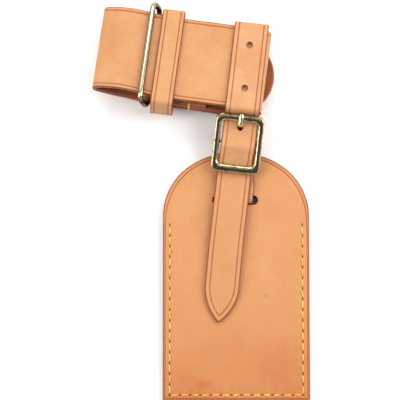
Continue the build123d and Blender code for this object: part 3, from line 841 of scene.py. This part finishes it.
def tongue_reach(u):
    beyond = strap_at(u) - tip_centre[1]
    if strap_at(u) > TAPER_BELOW:
        return STRAP_WIDTH / 2
    return min(STRAP_WIDTH / 2, max(tip_radius - math.hypot(tip_centre[0], beyond), 0.0))


tip_steps = strap_length - np.concatenate([np.arange(0, 7.5, 0.12), np.arange(7.5, 20, 0.4)])
tongue_ply = strap_piece("strap_tongue_ply", under_buckle, strap_length, tongue_half_width, ("seam", "seam"),
                         reach=tongue_reach, extra=tip_steps)


def rod(name, centre, radius, height, tilt=0.0, sides=40):
    """A cutter in the strap's frame: a cylinder whose axis leans from z towards y."""
    turn = np.linspace(0, 2 * math.pi, sides, endpoint=False)
    ring = np.stack([radius * np.cos(turn), radius * np.sin(turn)], 1)
    c, s = math.cos(tilt), math.sin(tilt)
    rings = []
    for level in (-height / 2, height / 2):
        flat_ring = np.column_stack([ring[:, 0], ring[:, 1] * c + level * s, level * c - ring[:, 1] * s])
        rings.append(flat_ring + np.array(centre))
    points, faces = loft(rings, False)
    # The hole's walls take the edge colour and painted shade (alpha 0.9).
    zones = np.tile([1.0, 0.0, 0.0, 0.9], (len(points), 1))
    return mesh_object(name, STRAP(points), faces, zones, points)


SPARE_HOLES = (-11.2, 11.0)
SPARE_HOLE_RADIUS = 1.6
PRONG_HOLE = (0, 33.5, 15.6)
PRONG_HOLE_RADIUS = 1.4
spare_holes = []
for number, across_band in enumerate(SPARE_HOLES):
    s_at, z_at = band_to_strap(across_band, WRAP_FRONT)
    spare_holes.append(rod(f"cut_spare_{number}", (0, s_at, z_at), SPARE_HOLE_RADIUS, 4.0, -BAND_TILT))
subtract(wrap_ply, spare_holes)
subtract(neck_ply, [rod("cut_prong_hole", PRONG_HOLE, PRONG_HOLE_RADIUS, 6.0)])


def box_cutter(name, low, high):
    """A cutter in the strap's frame: a box between two corners."""
    points = np.array([[x, y, z] for x in (low[0], high[0]) for y in (low[1], high[1]) for z in (low[2], high[2])])
    faces = [(0, 1, 3, 2), (4, 6, 7, 5), (0, 4, 5, 1), (2, 3, 7, 6), (0, 2, 6, 4), (1, 5, 7, 3)]
    return mesh_object(name, STRAP(points), faces, np.tile([1.0, 0, 0, 0], (8, 1)), points)


PRONG_SLOT = ((-1.8, 23.56, 7.0), (1.8, 32.76, 15.2))
subtract(hitch_ply, [box_cutter("cut_prong_slot", *PRONG_SLOT)])

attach(dress(hitch_ply, strap_leather), "hitch")
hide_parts("strap_base")
dress(wrap_ply, strap_leather)
STRAP.point(0, 26.0, 1.0)
STRAP.point(0, 38.5, 1.0)
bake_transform(wrap_ply)
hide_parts("strap_loop")
dress(neck_ply, strap_leather)
STRAP.point(0, 39.9, 18.6)
STRAP.point(0, 41.9, 21.3)
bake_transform(neck_ply)
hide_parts("strap_front")
dress(tongue_ply, tongue_leather)
STRAP.point(0, 14.4, 9.0)
STRAP.point(0, 10.8, 9.0)
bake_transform(tongue_ply)
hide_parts("strap_end")


# ---------------------------------------------------------------- tag
TAG_WIDTH = 70.0
TAG_LENGTH = 119.4
PANEL = 2.0
ARCH_RADIUS = 39.5
SHOULDER_RADIUS = 29.5
CORNER_RADIUS = 0.7
SEAM_X = 31.7
SEAM_Y = 2.6
SEAM_TOP = 84.0
CORNER_HOLE = 0.55
# Half the pocket's width, where it starts and how deep each panel is hollowed for it.
POCKET = (30.0, 5.0, 0.3)
SLOT_CENTRE = np.array([-0.4, 96.0])
SLOT_HALF = (21.4 / 2 - 2.05, 2.05)


def arc(centre, radius, start, end, step):
    count = max(3, int(abs(end - start) * radius / step))
    turn = np.linspace(start, end, count + 1)
    away = np.stack([np.cos(turn), np.sin(turn)], 1)
    return np.asarray(centre) + radius * away, away


def tag_outline():
    """Points round the tag, outward normals, and the crease's distance from the edge."""
    half = TAG_WIDTH / 2
    arch_y = TAG_LENGTH - ARCH_RADIUS
    reach = ARCH_RADIUS - SHOULDER_RADIUS
    side = half - SHOULDER_RADIUS
    shoulder_y = arch_y + math.sqrt(reach**2 - side**2)
    lean_angle = math.asin(side / reach)
    low = CORNER_RADIUS
    right = [arc((half - low, low), low, -math.pi / 2, 0, 0.2)]
    rise = np.arange(low, shoulder_y, 1.5)[1:]
    right.append((np.column_stack([np.full_like(rise, half), rise]), np.tile([1.0, 0.0], (len(rise), 1))))
    right.append(arc((side, shoulder_y), SHOULDER_RADIUS, 0, math.pi / 2 - lean_angle, 0.8))
    right.append(arc((0, arch_y), ARCH_RADIUS, math.pi / 2 - lean_angle, math.pi / 2, 0.8))
    points = np.vstack([part[0] for part in right])
    away = np.vstack([part[1] for part in right])
    keep = np.concatenate([[True], np.linalg.norm(np.diff(points, axis=0), axis=1) > 0.05])
    points, away = points[keep], away[keep]
    mirror = np.array([-1.0, 1.0])
    bottom_x = np.arange(-(half - low), half - low, 1.5)[1:]
    bottom = np.column_stack([bottom_x, np.zeros_like(bottom_x)])
    points = np.vstack([points, (points * mirror)[::-1][1:], bottom])
    away = np.vstack([away, (away * mirror)[::-1][1:], np.tile([0.0, -1.0], (len(bottom), 1))])
    crease = 1.0 + 0.9 * smoothstep(points[:, 1], 80.0, 100.0)
    return points, away, crease


def slot_ring(grow, count=20):
    """The strap slot's outline, made wider by grow."""
    half_run, radius = SLOT_HALF
    right, _ = arc((half_run, 0), radius + grow, -math.pi / 2, math.pi / 2, 3 / count)
    left, _ = arc((-half_run, 0), radius + grow, math.pi / 2, 1.5 * math.pi, 3 / count)
    return SLOT_CENTRE + np.vstack([right, left])


def inside(points, polygon):
    """Which points lie inside a polygon."""
    x, y = points[:, 0], points[:, 1]
    hit = np.zeros(len(points), bool)
    for (x1, y1), (x2, y2) in zip(polygon, np.roll(polygon, -1, axis=0)):
        if y1 == y2:
            continue
        crosses = ((y1 > y) != (y2 > y)) & (x < (x2 - x1) * (y - y1) / (y2 - y1) + x1)
        hit ^= crosses
    return hit


def face_sheet(rings, loose, outer, holes):
    """Triangulates a flat face. rings are closed lines with a height and edge, crease, flesh and hole amounts, the
    last being painted shade in holes, and loose is single points with the same. outer is the index of the outline,
    holes those of the openings."""
    points, columns, edges = [], [], []
    base = 0
    for ring, *values in rings:
        count = len(ring)
        points.append(ring)
        columns.append(np.stack([np.broadcast_to(np.asarray(v, float), (count,)) for v in values], 1))
        if count > 1:
            edges += [(base + k, base + (k + 1) % count) for k in range(count)]
        base += count
    points.append(loose[0])
    columns.append(loose[1])
    points, columns = np.vstack(points), np.vstack(columns)
    made = delaunay_2d_cdt([Vector(p) for p in points], edges, [], 0, 1e-5, True)
    sources = [ids[0] if ids else -1 for ids in made[3]]
    flat = np.array(made[0])
    values = np.array([columns[k] if k >= 0 else columns[0] for k in sources])
    triangles = np.array(made[2])
    middles = flat[triangles].mean(1)
    kept = inside(middles, rings[outer][0])
    for k in holes:
        kept &= ~inside(middles, rings[k][0])
    return flat, values, [tuple(t) for t in triangles[kept]]


def seam_places():
    """Ends of every stitch of the tag's seam, and its needle holes."""
    runs = [
        ((-SEAM_X, SEAM_TOP), (-SEAM_X, SEAM_Y), 16),
        ((-SEAM_X, SEAM_Y), (SEAM_X, SEAM_Y), 13),
        ((SEAM_X, SEAM_Y), (SEAM_X, SEAM_TOP), 16),
    ]
    stitches, holes = [], []
    for start, end, count in runs:
        start, end = np.array(start), np.array(end)
        marks = [start + (end - start) * k / count for k in range(count + 1)]
        stitches += list(zip(marks, marks[1:]))
        holes += [(mark, (end - start) / np.linalg.norm(end - start), 1.0) for mark in marks]
    corners = [k for k, hole in enumerate(holes) if hole[0][1] == SEAM_Y and abs(hole[0][0]) == SEAM_X]
    holes = [hole for k, hole in enumerate(holes) if k not in corners[1::2]]
    small = [at[1] == SEAM_Y and abs(at[0]) == SEAM_X for at, _, _ in holes]
    holes = [(at, turn, CORNER_HOLE if less else size) for (at, turn, size), less in zip(holes, small)]
    return stitches, holes


def ellipse(centre, direction, long_half, short_half, count=14):
    turn = np.linspace(0, 2 * math.pi, count, endpoint=False)
    side = np.array([-direction[1], direction[0]])
    return centre + np.outer(np.cos(turn) * long_half, direction) + np.outer(np.sin(turn) * short_half, side)


def seam_channel(half):
    """A closed line round the seam's U, half its width away."""
    out, inn = SEAM_X + half, SEAM_X - half
    return np.array([
        (-out, SEAM_TOP + half), (-out, SEAM_Y - half), (out, SEAM_Y - half), (out, SEAM_TOP + half),
        (inn, SEAM_TOP + half), (inn, SEAM_Y + half), (-inn, SEAM_Y + half), (-inn, SEAM_TOP + half),
    ])


def pocket_depth(points):
    half, low, depth = POCKET
    return depth * ((np.abs(points[:, 0]) < half) & (points[:, 1] > low))


# Rings of the panels' edges and creases: distance, depth below the face, and edge or crease amount.
PANEL_EDGE = ((0.04, 0.4, 1.0), (0.15, 0.16, 1.0), (0.3, 0.04, 1.0), (0.44, 0.0, 0.7), (0.56, 0.0, 0.45))
PANEL_CREASE = ((-0.36, 0, 0), (-0.2, 0.1, 0.6), (0, 0.26, 1.0), (0.2, 0.1, 0.6), (0.44, 0, 0))
SLOT_EDGE = ((0.05, 0.25, 1.0), (0.2, 0.06, 0.9), (0.42, 0.0, 0.4), (0.7, 0.0, 0.0))
# Rings of a needle hole: half length, half width, depth, and darkness, which is painted shade in the hole.
NEEDLE_HOLE = ((1.15, 0.5, 0, 0), (0.85, 0.34, 0.12, 0.25), (0.55, 0.22, 0.5, 0.8))
SWELL = 0.07
BACK_FLAT_SHIFT = 200


def tag_panel(name, is_front):
    """One face of the tag: grain side with its edge, crease, slot and seam, and flesh side with the pocket."""
    outline, away, crease = tag_outline()
    half = PANEL / 2
    rings = []
    corner = (np.abs(away).min(1) > 1e-6) & (outline[:, 1] < CORNER_RADIUS + 0.01)

    def inward(d):
        """The outline moved in; past the corner's radius its corners are plain."""
        d = np.asarray(d)
        ring = outline - away * d[:, None]
        plain = corner & (d > CORNER_RADIUS)
        ring[plain] = np.column_stack([np.sign(outline[plain, 0]) * (TAG_WIDTH / 2 - d[plain]), d[plain]])
        past = d > CORNER_RADIUS
        ring[past, 1] = np.maximum(ring[past, 1], d[past])
        ring[past, 0] = np.clip(ring[past, 0], -(TAG_WIDTH / 2 - d[past]), TAG_WIDTH / 2 - d[past])
        gap = np.linalg.norm(ring - np.roll(ring, 1, axis=0), axis=1)
        return ring[gap > 1e-3]

    rings.append((outline, half - 0.5, 1.0, 0.0, 0.0, 0.0))
    for d, sink, edge in PANEL_EDGE:
        rings.append((inward(np.full(len(outline), d)), half - sink, edge, 0.0, 0.0, 0.0))
    for shift, sink, groove in PANEL_CREASE:
        rings.append((inward(crease + shift), half - sink, 0.0, groove, 0.0, 0.0))
    inner_rim = len(rings) - 1
    slot_index = len(rings)
    # The slot's rim gets a little painted shade.
    rings.append((slot_ring(0.0), half - 0.4, 1.0, 0.0, 0.0, 0.3))
    for grow, sink, edge in SLOT_EDGE:
        rings.append((slot_ring(grow), half - sink, edge, 0.0, 0.0, 0.0))
    stitches, holes = seam_places()
    if is_front:
        for centre, direction, size in holes:
            # Each needle hole is darkened inwards with painted shade.
            for long_half, short_half, sink, dark in NEEDLE_HOLE:
                shape = ellipse(centre, direction, long_half * size, short_half)
                rings.append((shape, half - sink, 0.0, 0.0, 0.0, dark))
            rings.append((np.array([centre]), half - 0.7, 0.0, 0.0, 0.0, 0.9))
    else:
        rings.append((seam_channel(0.62), half, 0.0, 0.0, 0.0, 0.0))
        rings.append((seam_channel(0.45), half - 0.55, 0.0, 0.6, 0.0, 0.0))
    xs, ys = np.meshgrid(np.arange(-32, 33, 3.2), np.arange(4, 117, 3.1))
    grid = np.column_stack([xs.ravel(), ys.ravel()])
    keep = inside(grid, rings[inner_rim][0]) & ~inside(grid, slot_ring(1.0))
    keep &= (np.abs(np.abs(grid[:, 0]) - SEAM_X) > 1.6) & (np.abs(grid[:, 1] - SEAM_Y) > 1.6)
    grid = grid[keep]
    swell = SWELL * np.sin(0.09 * grid[:, 0] + 0.5) * np.cos(0.06 * grid[:, 1])
    loose = np.column_stack([half + swell - SWELL] + [np.zeros(len(grid))] * 4)
    top_flat, top_values, top_faces = face_sheet(rings, (grid, loose), 0, [slot_index])
    half_pocket, low_pocket, depth = POCKET

    def flesh_height(points):
        return -half + pocket_depth(points)

    under = [(outline, flesh_height(outline) + 0.06, 1.0, 0.0, 1.0, 0.0)]
    lip = inward(np.full(len(outline), 0.25))
    under.append((lip, flesh_height(lip), 0.6, 0.0, 1.0, 0.0))
    under_slot = len(under)
    # The slot's rim on the flesh side gets a little painted shade too.
    under.append((slot_ring(0.0), -half + depth, 1.0, 0.0, 1.0, 0.3))
    spread = np.column_stack([xs.ravel(), ys.ravel()])
    for x in (half_pocket - 0.15, half_pocket + 0.15):
        rise = np.arange(low_pocket, 96.0, 3.0)
        for sign in (-1, 1):
            spread = np.vstack([spread, np.column_stack([np.full_like(rise, sign * x), rise])])
    for y in (low_pocket - 0.15, low_pocket + 0.15):
        run = np.arange(-half_pocket, half_pocket + 1, 3.0)
        spread = np.vstack([spread, np.column_stack([run, np.full_like(run, y)])])
    spread = spread[inside(spread, lip) & ~inside(spread, slot_ring(0.3))]
    none = np.zeros(len(spread))
    loose = np.column_stack([flesh_height(spread), none, none, none + 1, none])
    low_flat, low_values, low_faces = face_sheet(under, (spread, loose), 0, [under_slot])
    top, low = np.column_stack([top_flat, top_values[:, 0]]), np.column_stack([low_flat, low_values[:, 0]])
    points = np.vstack([top, low])
    zones = np.vstack([top_values[:, 1:5], low_values[:, 1:5]])
    faces = list(top_faces) + [tuple(len(top_flat) + i for i in t) for t in low_faces]
    for ring in (outline, slot_ring(0.0)):
        upper = [int(np.argmin(np.hypot(*(top_flat - p).T))) for p in ring]
        lower = [len(top_flat) + int(np.argmin(np.hypot(*(low_flat - p).T))) for p in ring]
        count = len(ring)
        for k in range(count):
            n = (k + 1) % count
            faces.append((upper[k], upper[n], lower[n], lower[k]))
    flat = points.copy()
    if not is_front:
        points[:, 2] *= -1
        flat[:, 0] += BACK_FLAT_SHIFT
    points[:, 2] += 3 * half if is_front else half
    return mesh_object(name, TAG(points), faces, zones, flat, 40.0)


front_panel = dress(tag_panel("tag_front_leather", True), tag_leather)
back_panel = dress(tag_panel("tag_back_leather", False), tag_back_leather)
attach(front_panel, "tag")
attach(back_panel, "tag")
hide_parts("tag_front_panel")
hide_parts("tag_back_panel")


# ---------------------------------------------------------------- thread
TWIST = 2.6


def rope_stitch(start, end, surface, bulge, thick, dive, seed, sides=12, steps=15):
    """One stitch as a two-ply twist that rises out of one hole and goes down the next. bulge is 1 for a stitch on
    top of a surface and -1 for one below it; dive is how far from the hole's middle it goes down."""
    start, end = np.asarray(start, float), np.asarray(end, float)
    direction = (end - start) / np.linalg.norm(end - start)
    side = np.array([-direction[1], direction[0]])
    length = np.linalg.norm(end - start)
    jog = 0.07 * math.sin(seed * 2.3)
    slant = 0.1 + 0.04 * math.sin(seed * 1.7)
    rings = []
    for k in range(steps):
        t = -1 + 2 * k / (steps - 1)
        along_run = math.copysign(abs(t) ** 0.85, t) * (length / 2 - dive)
        rise = thick * 0.35 - (abs(t) ** 5) * (thick * 1.5)
        thin = 1.0 - 0.25 * abs(t) ** 4
        centre = (start + end) / 2 + direction * along_run + side * (jog * (1 - t * t) + slant * t)
        phase = TWIST * t + seed
        ring = []
        for j in range(sides):
            a = 2 * math.pi * j / sides
            r = thick / 2 * thin * (0.86 + 0.16 * math.cos(2 * (a - phase)))
            offset = centre + side * r * math.cos(a)
            ring.append((offset[0], offset[1], surface + bulge * (rise + r * 0.8 * math.sin(a))))
        rings.append(ring)
    return loft(rings, False)


def stitch_row(name, place, pairs, surface, bulge, thick, body, node, dive=0.35, to_frame=None):
    """A row of stitches as one piece; to_frame moves the row from where it is laid to where it belongs."""
    parts = [rope_stitch(a, b, surface, bulge, thick, dive, k) for k, (a, b) in enumerate(pairs)]
    points, faces = join_parts(parts)
    if to_frame:
        points = to_frame(points)
    piece = dress(mesh_object(name, place(points), faces, smooth_angle=70.0), seam_thread)
    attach(piece, body)
    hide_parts(node)
    return piece


def pairs_along(start, end, count):
    start, end = np.array(start, float), np.array(end, float)
    marks = [start + (end - start) * k / count for k in range(count + 1)]
    return list(zip(marks, marks[1:]))


seam_pairs = seam_places()[0]
stitch_row("tag_seam_stitches", TAG, seam_pairs, 4.0, 1, 0.72, "tag", "tag_seam_needle_thread", 0.7)
stitch_row("tag_seam_back_stitches", TAG, seam_pairs, 0.5, -1, 0.62, "tag", "tag_seam_bobbin_thread", 0.3)
BAND_SEAM_X = -25.3
fold_pairs = pairs_along((BAND_SEAM_X, -18.0), (BAND_SEAM_X, 18.0), 9)
stitch_row("band_fold_stitches", BAND, fold_pairs, -6.5, 1, 0.8, "band", "band_fold_needle_thread")
stitch_row("band_fold_back_stitches", BAND, fold_pairs, -10.7, -1, 0.7, "band", "band_fold_bobbin_thread")
# The fold's seam ends in a stitch over each edge of the band.
EDGE_WRAP = [
    (18.2, -6.75), (20.3, -6.2), (21.15, -6.7), (21.25, -8.6), (21.15, -10.5), (20.3, -11.0), (18.2, -10.45),
]
EDGE_WRAP_RADIUS = 0.42
wraps = []
for side in (-1, 1):
    wraps.append(tube([(BAND_SEAM_X, side * y, z) for y, z in EDGE_WRAP], EDGE_WRAP_RADIUS, 10))
points, faces = join_parts(wraps)
edge_wraps = dress(mesh_object("band_fold_edge_stitches", BAND(points), faces), seam_thread)
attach(edge_wraps, "band")
keeper_pairs = [((KEEPER_CENTRE + x, -2.2), (KEEPER_CENTRE + x, 2.2)) for x in (-3.0, 0.0, 3.0)]
stitch_row("band_keeper_stitches", BAND, keeper_pairs, -15.35, -1, 0.7, "keeper", "keeper_seam_thread")


def on_slope(at, height, slope):
    """Moves a row made flat at height 0 onto a sloping ply of the strap's fold."""
    c, s = math.cos(slope), math.sin(slope)

    def turned(points):
        return np.column_stack([points[:, 0], at + points[:, 1] * c - points[:, 2] * s,
                                height + points[:, 1] * s + points[:, 2] * c])

    return turned


FOLD_SEAM_AT = 21.9
PLY = STRAP_THICKNESS / 2
fold_seam = pairs_along((-7.0, 0), (-2.6, 0), 2) + pairs_along((2.6, 0), (7.0, 0), 2)
upper_slope = math.atan2(FOLD_HIGH - LANDING[1], FOLD_SLOPES_AT - LANDING[0])
lower_slope = math.atan2(FOLD_LOW - FOLD_TAIL[1], FOLD_SLOPES_AT - FOLD_TAIL[0])
upper_height = FOLD_HIGH - (FOLD_SLOPES_AT - FOLD_SEAM_AT) * math.tan(upper_slope)
lower_height = FOLD_LOW - (FOLD_SLOPES_AT - FOLD_SEAM_AT) * math.tan(lower_slope)
stitch_row("strap_fold_stitches", STRAP, fold_seam, PLY, 1, 0.55, "hitch", "strap_fold_needle_thread", 0.2,
           on_slope(FOLD_SEAM_AT, upper_height, upper_slope))
stitch_row("strap_fold_back_stitches", STRAP, fold_seam, -PLY, -1, 0.55, "hitch", "strap_fold_bobbin_thread", 0.2,
           on_slope(FOLD_SEAM_AT, lower_height, lower_slope))


# ---------------------------------------------------------------- buckle
BUCKLE_TILT = math.radians(16)
BUCKLE_SLIP = -0.4
FRAME_LOW_AT, FRAME_HIGH_AT, FRAME_LOW_HEIGHT = 14.4, 38.0, 11.5
BAR_AT = 26.2


def frame_point(s, above):
    """A place along the strap, measured above the frame's middle plane, as the strap's along and height."""
    height = FRAME_LOW_HEIGHT + (s - FRAME_LOW_AT) * math.tan(BUCKLE_TILT)
    return (s - above * math.sin(BUCKLE_TILT), height + above * math.cos(BUCKLE_TILT))


BUCKLE = Place(
    STRAP([BUCKLE_SLIP, *frame_point(BAR_AT, 0)]),
    STRAP.axes[0],
    STRAP.axes[1] * math.cos(BUCKLE_TILT) + STRAP.axes[2] * math.sin(BUCKLE_TILT),
    STRAP.axes[2] * math.cos(BUCKLE_TILT) - STRAP.axes[1] * math.sin(BUCKLE_TILT),
)


def rounded_box_ring(half_width, low, high, radius, height, corner_steps=7, side_steps=5):
    """A rounded rectangle at a height, with the same number of points whatever its size."""
    corners = [(half_width - radius, low + radius, -90), (half_width - radius, high - radius, 0),
               (radius - half_width, high - radius, 90), (radius - half_width, low + radius, 180)]
    ring = []
    for x, y, start in corners:
        for k in range(corner_steps + 1):
            a = math.radians(start + 90 * k / corner_steps)
            ring.append((x + radius * math.cos(a), y + radius * math.sin(a)))
    filled = []
    for k, point in enumerate(ring):
        after = ring[(k + 1) % len(ring)]
        filled.append(point)
        if (k + 1) % (corner_steps + 1) == 0:
            for j in range(1, side_steps + 1):
                t = j / (side_steps + 1)
                filled.append((point[0] + (after[0] - point[0]) * t, point[1] + (after[1] - point[1]) * t))
    return [(x, y, height) for x, y in filled]


FRAME_SPAN = (FRAME_HIGH_AT - FRAME_LOW_AT) / math.cos(BUCKLE_TILT)
FRAME_HALF = 23.3 / 2
FRAME_SIDE = 2.95
OUTER_CORNER, INNER_CORNER = 3.3, 2.0
outer_high, outer_low = FRAME_SPAN / 2 + 1.6, -FRAME_SPAN / 2 - 2.3
inner_high, inner_low = FRAME_SPAN / 2 - 1.9, -FRAME_SPAN / 2 + 1.75
inner_half = FRAME_HALF - FRAME_SIDE
# The frame's section, as distance from its outer or inner outline and height.
OUTER_SECTION = ((0.3, -1.2), (0.06, -1.0), (0.0, -0.7), (0.0, 0.45), (0.05, 0.68), (0.4, 1.13), (0.58, 1.2))
INNER_SECTION = ((0.98, 1.2), (0.74, 1.13), (0.12, 0.5), (0.0, 0.2), (0.0, -0.8), (0.06, -1.05), (0.3, -1.2))
frame_rings = []
for inset, height in OUTER_SECTION:
    frame_rings.append(rounded_box_ring(FRAME_HALF - inset, outer_low + inset, outer_high - inset,
                                        OUTER_CORNER - inset * 0.8, height))
for inset, height in INNER_SECTION:
    frame_rings.append(rounded_box_ring(inner_half + inset, inner_low - inset, inner_high + inset,
                                        INNER_CORNER + inset * 0.8, height))
frame_parts = [loft(frame_rings, True)]
LUG_X = FRAME_HALF - 1.4
LUG_HALF, LUG_BOTTOM, LUG_TOP = 1.6, -5.0, 0.2
LUG_SECTION = ((-0.95, 0.25), (-0.8, 0.05), (-0.65, 0.0), (0.65, 0.0), (0.8, 0.05), (0.95, 0.25))
for side in (-1, 1):
    lug_rings = []
    for x, shrink in LUG_SECTION:
        ring = rounded_box_ring(LUG_HALF - shrink, LUG_BOTTOM + shrink, LUG_TOP, 1.55 - shrink, 0.0)
        lug_rings.append([(side * LUG_X + x, p[0], p[1]) for p in ring])
    frame_parts.append(loft(lug_rings, False))
points, faces = join_parts(frame_parts)
buckle = dress(mesh_object("buckle_frame_metal", BUCKLE(points), faces, smooth_angle=34.0), buckle_metal)
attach(buckle, "hitch")
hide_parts("buckle_frame")

BAR_DROP = -3.5
BAR_RADIUS = 0.98
BAR_HALF = FRAME_HALF - 0.9
bar_line = [(x, 0, BAR_DROP) for x in np.linspace(-BAR_HALF, BAR_HALF, 9)]
points, faces = tube(bar_line, BAR_RADIUS, 24)
bar = dress(mesh_object("buckle_bar_metal", BUCKLE(points), faces), buckle_metal)
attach(bar, "hitch")
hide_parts("buckle_bar")


bar_s, bar_z = frame_point(BAR_AT, BAR_DROP)
EYE_RADIUS = 1.76
eye_turn = np.radians(np.arange(40, 342, 12))
eye = [(bar_s + EYE_RADIUS * math.cos(a), bar_z + EYE_RADIUS * math.sin(a)) for a in eye_turn]
arm_line = [eye[-1], (bar_s + 2.6, bar_z - 0.5), (33.2, 12.0)]
arm_line += [frame_point(34.7, 1.95), frame_point(38.2, 1.9), frame_point(39.25, 1.72)]
arm, _, _ = rounded(arm_line, [1.0, 0.9, 1.2, 2.0], 0.5, 0.2)
prong_line = np.array([(0, s, z) for s, z in eye[:-1] + [tuple(p) for p in arm]])
run = np.concatenate([[0], np.cumsum(np.linalg.norm(np.diff(prong_line, axis=0), axis=1))])
prong_radii = 1.22 - 0.1 * smoothstep(run, run[-1] - 7.0, run[-1])
points, faces = tube(prong_line, prong_radii, 24, squash=0.56)
prong = dress(mesh_object("buckle_prong_metal", STRAP(points), faces), prong_metal)
# Painted shade darkens the prong's sides.
paint_side_shade(prong, BUCKLE.axes[2], 0.2, 0.75)
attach(prong, "prong")
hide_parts("buckle_prong")


# ---------------------------------------------------------------- ring
front, rear = np.array([RING_FRONT[0], 0, RING_FRONT[1]]), np.array([RING_REAR[0], 0, RING_REAR[1]])
depth_axis = (rear - front) / np.linalg.norm(rear - front)
RING_LENGTH = 52.8
RING_WIRE = 2.7
RING_CORNER = 3.4
RING_OFFSET = 1.5
ring_half = (RING_LENGTH - RING_WIRE) / 2
ring_depth = np.linalg.norm(rear - front) / 2
flat_ring = rounded_box_ring(ring_half, -ring_depth, ring_depth, RING_CORNER, 0.0, 12, 24)
ring_line = [(front + rear) / 2 + np.array([0, p[0] + RING_OFFSET, 0]) + depth_axis * p[1] for p in flat_ring]
points, faces = tube(ring_line, RING_WIRE / 2, 32, closed=True)
ring = dress(mesh_object("band_ring_metal", BAND(points), faces), ring_metal)
# Painted shade darkens the ring's sides.
paint_side_shade(ring, BAND.axes[2], 0.45, 0.95)
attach(ring, "ring")
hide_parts("band_ring")


# ---------------------------------------------------------------- card in the pocket
CARD_HALF, CARD_LOW, CARD_HIGH, CARD_CORNER = 29.0, 5.6, 81.6, 3.0
card_rings = []
for inset, height in ((0.08, 1.86), (0.0, 1.9), (0.0, 2.1), (0.08, 2.14)):
    card_rings.append(rounded_box_ring(CARD_HALF - inset, CARD_LOW + inset, CARD_HIGH - inset,
                                       CARD_CORNER, height))
points, faces = loft(card_rings, False)
card = dress(mesh_object("id_card_paper", TAG(points), faces), card_paper)
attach(card, "card")
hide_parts("id_card")


# ---------------------------------------------------------------- stage
def look(thing, target):
    thing.rotation_mode = "QUATERNION"
    thing.rotation_quaternion = (Vector(target) - thing.location).to_track_quat("-Z", "Y")


def soft_light(name, location, size, power):
    """A rectangular light that faces the middle of the part."""
    data = bpy.data.lights.new(name, "AREA")
    data.shape = "RECTANGLE"
    data.size, data.size_y = size
    data.energy = power
    light = bpy.data.objects.new(name, data)
    light.location = location
    bpy.context.scene.collection.objects.link(light)
    look(light, (0, 0, 0.01))


FLOOR_HALF = 6
floor_points = [(x * FLOOR_HALF, y * FLOOR_HALF, 0) for x, y in ((-1, -1), (1, -1), (1, 1), (-1, 1))]
floor = mesh_object("floor", floor_points, [(0, 1, 2, 3)])
paper = Nodes("floor_paper")
paper_place = paper.node("ShaderNodeTexCoord").outputs["Object"]
paper_tone = paper.between(paper.noise(paper_place, 9.0, 3.0), 0.3, 0.7)
paper.put(paper.shader.inputs["Base Color"], paper.mix(paper_tone, srgb(250, 250, 249), srgb(246, 246, 246)))
paper.shader.inputs["Roughness"].default_value = 0.9
dress(floor, paper.material)

soft_light("soft_left", (-0.95, -0.15, 0.95), (0.7, 1.1), 11.0)
soft_light("soft_right", (0.95, 0.1, 0.9), (0.7, 1.1), 13.0)
soft_light("soft_back", (0.05, 0.95, 0.95), (1.2, 0.6), 8.0)
# A dark card over the part, so that the metal has something dark to mirror.
SHADE_TILT = math.radians(25)
SHADE_Y, SHADE_HEIGHT = -0.42, 0.95
shade_outline = [(-0.4, -0.24), (0.4, -0.24), (0.4, 0.19), (-0.4, 0.19)]
shade_points = [(x, y * math.cos(SHADE_TILT) + SHADE_Y, SHADE_HEIGHT + y * math.sin(SHADE_TILT))
                for x, y in shade_outline]
shade = mesh_object("dark_card", shade_points, [(0, 1, 2, 3)])
paint = Nodes("dark_card_paint")
paint_tone = paint.noise(paint.node("ShaderNodeTexCoord").outputs["Object"], 30.0)
paint.put(paint.shader.inputs["Base Color"], paint.mix(paint_tone, srgb(30, 27, 22), srgb(42, 38, 32)))
dress(shade, paint.material)

world = bpy.data.worlds.new("studio")
world.use_nodes = True
sky = world.node_tree.nodes["Background"]
sky.inputs["Color"].default_value = (1.0, 1.0, 1.0, 1.0)
sky.inputs["Strength"].default_value = 0.55
scene = bpy.context.scene
scene.world = world
scene.view_settings.view_transform = "Standard"
scene.view_settings.look = "None"

ELEVATION = math.radians(81)
CAMERA_DISTANCE = 1.2
TARGET = Vector((-0.0002, TAG.origin[1] + 0.0961, 0.005))
camera_data = bpy.data.cameras.new("camera")
camera_data.sensor_width = 36
camera_data.lens = 225
camera = bpy.data.objects.new("camera", camera_data)
scene.collection.objects.link(camera)
camera.location = TARGET + CAMERA_DISTANCE * Vector((0, -math.cos(ELEVATION), math.sin(ELEVATION)))
look(camera, TARGET)
camera_data.dof.use_dof = False
camera_data.clip_end = 50
scene.camera = camera
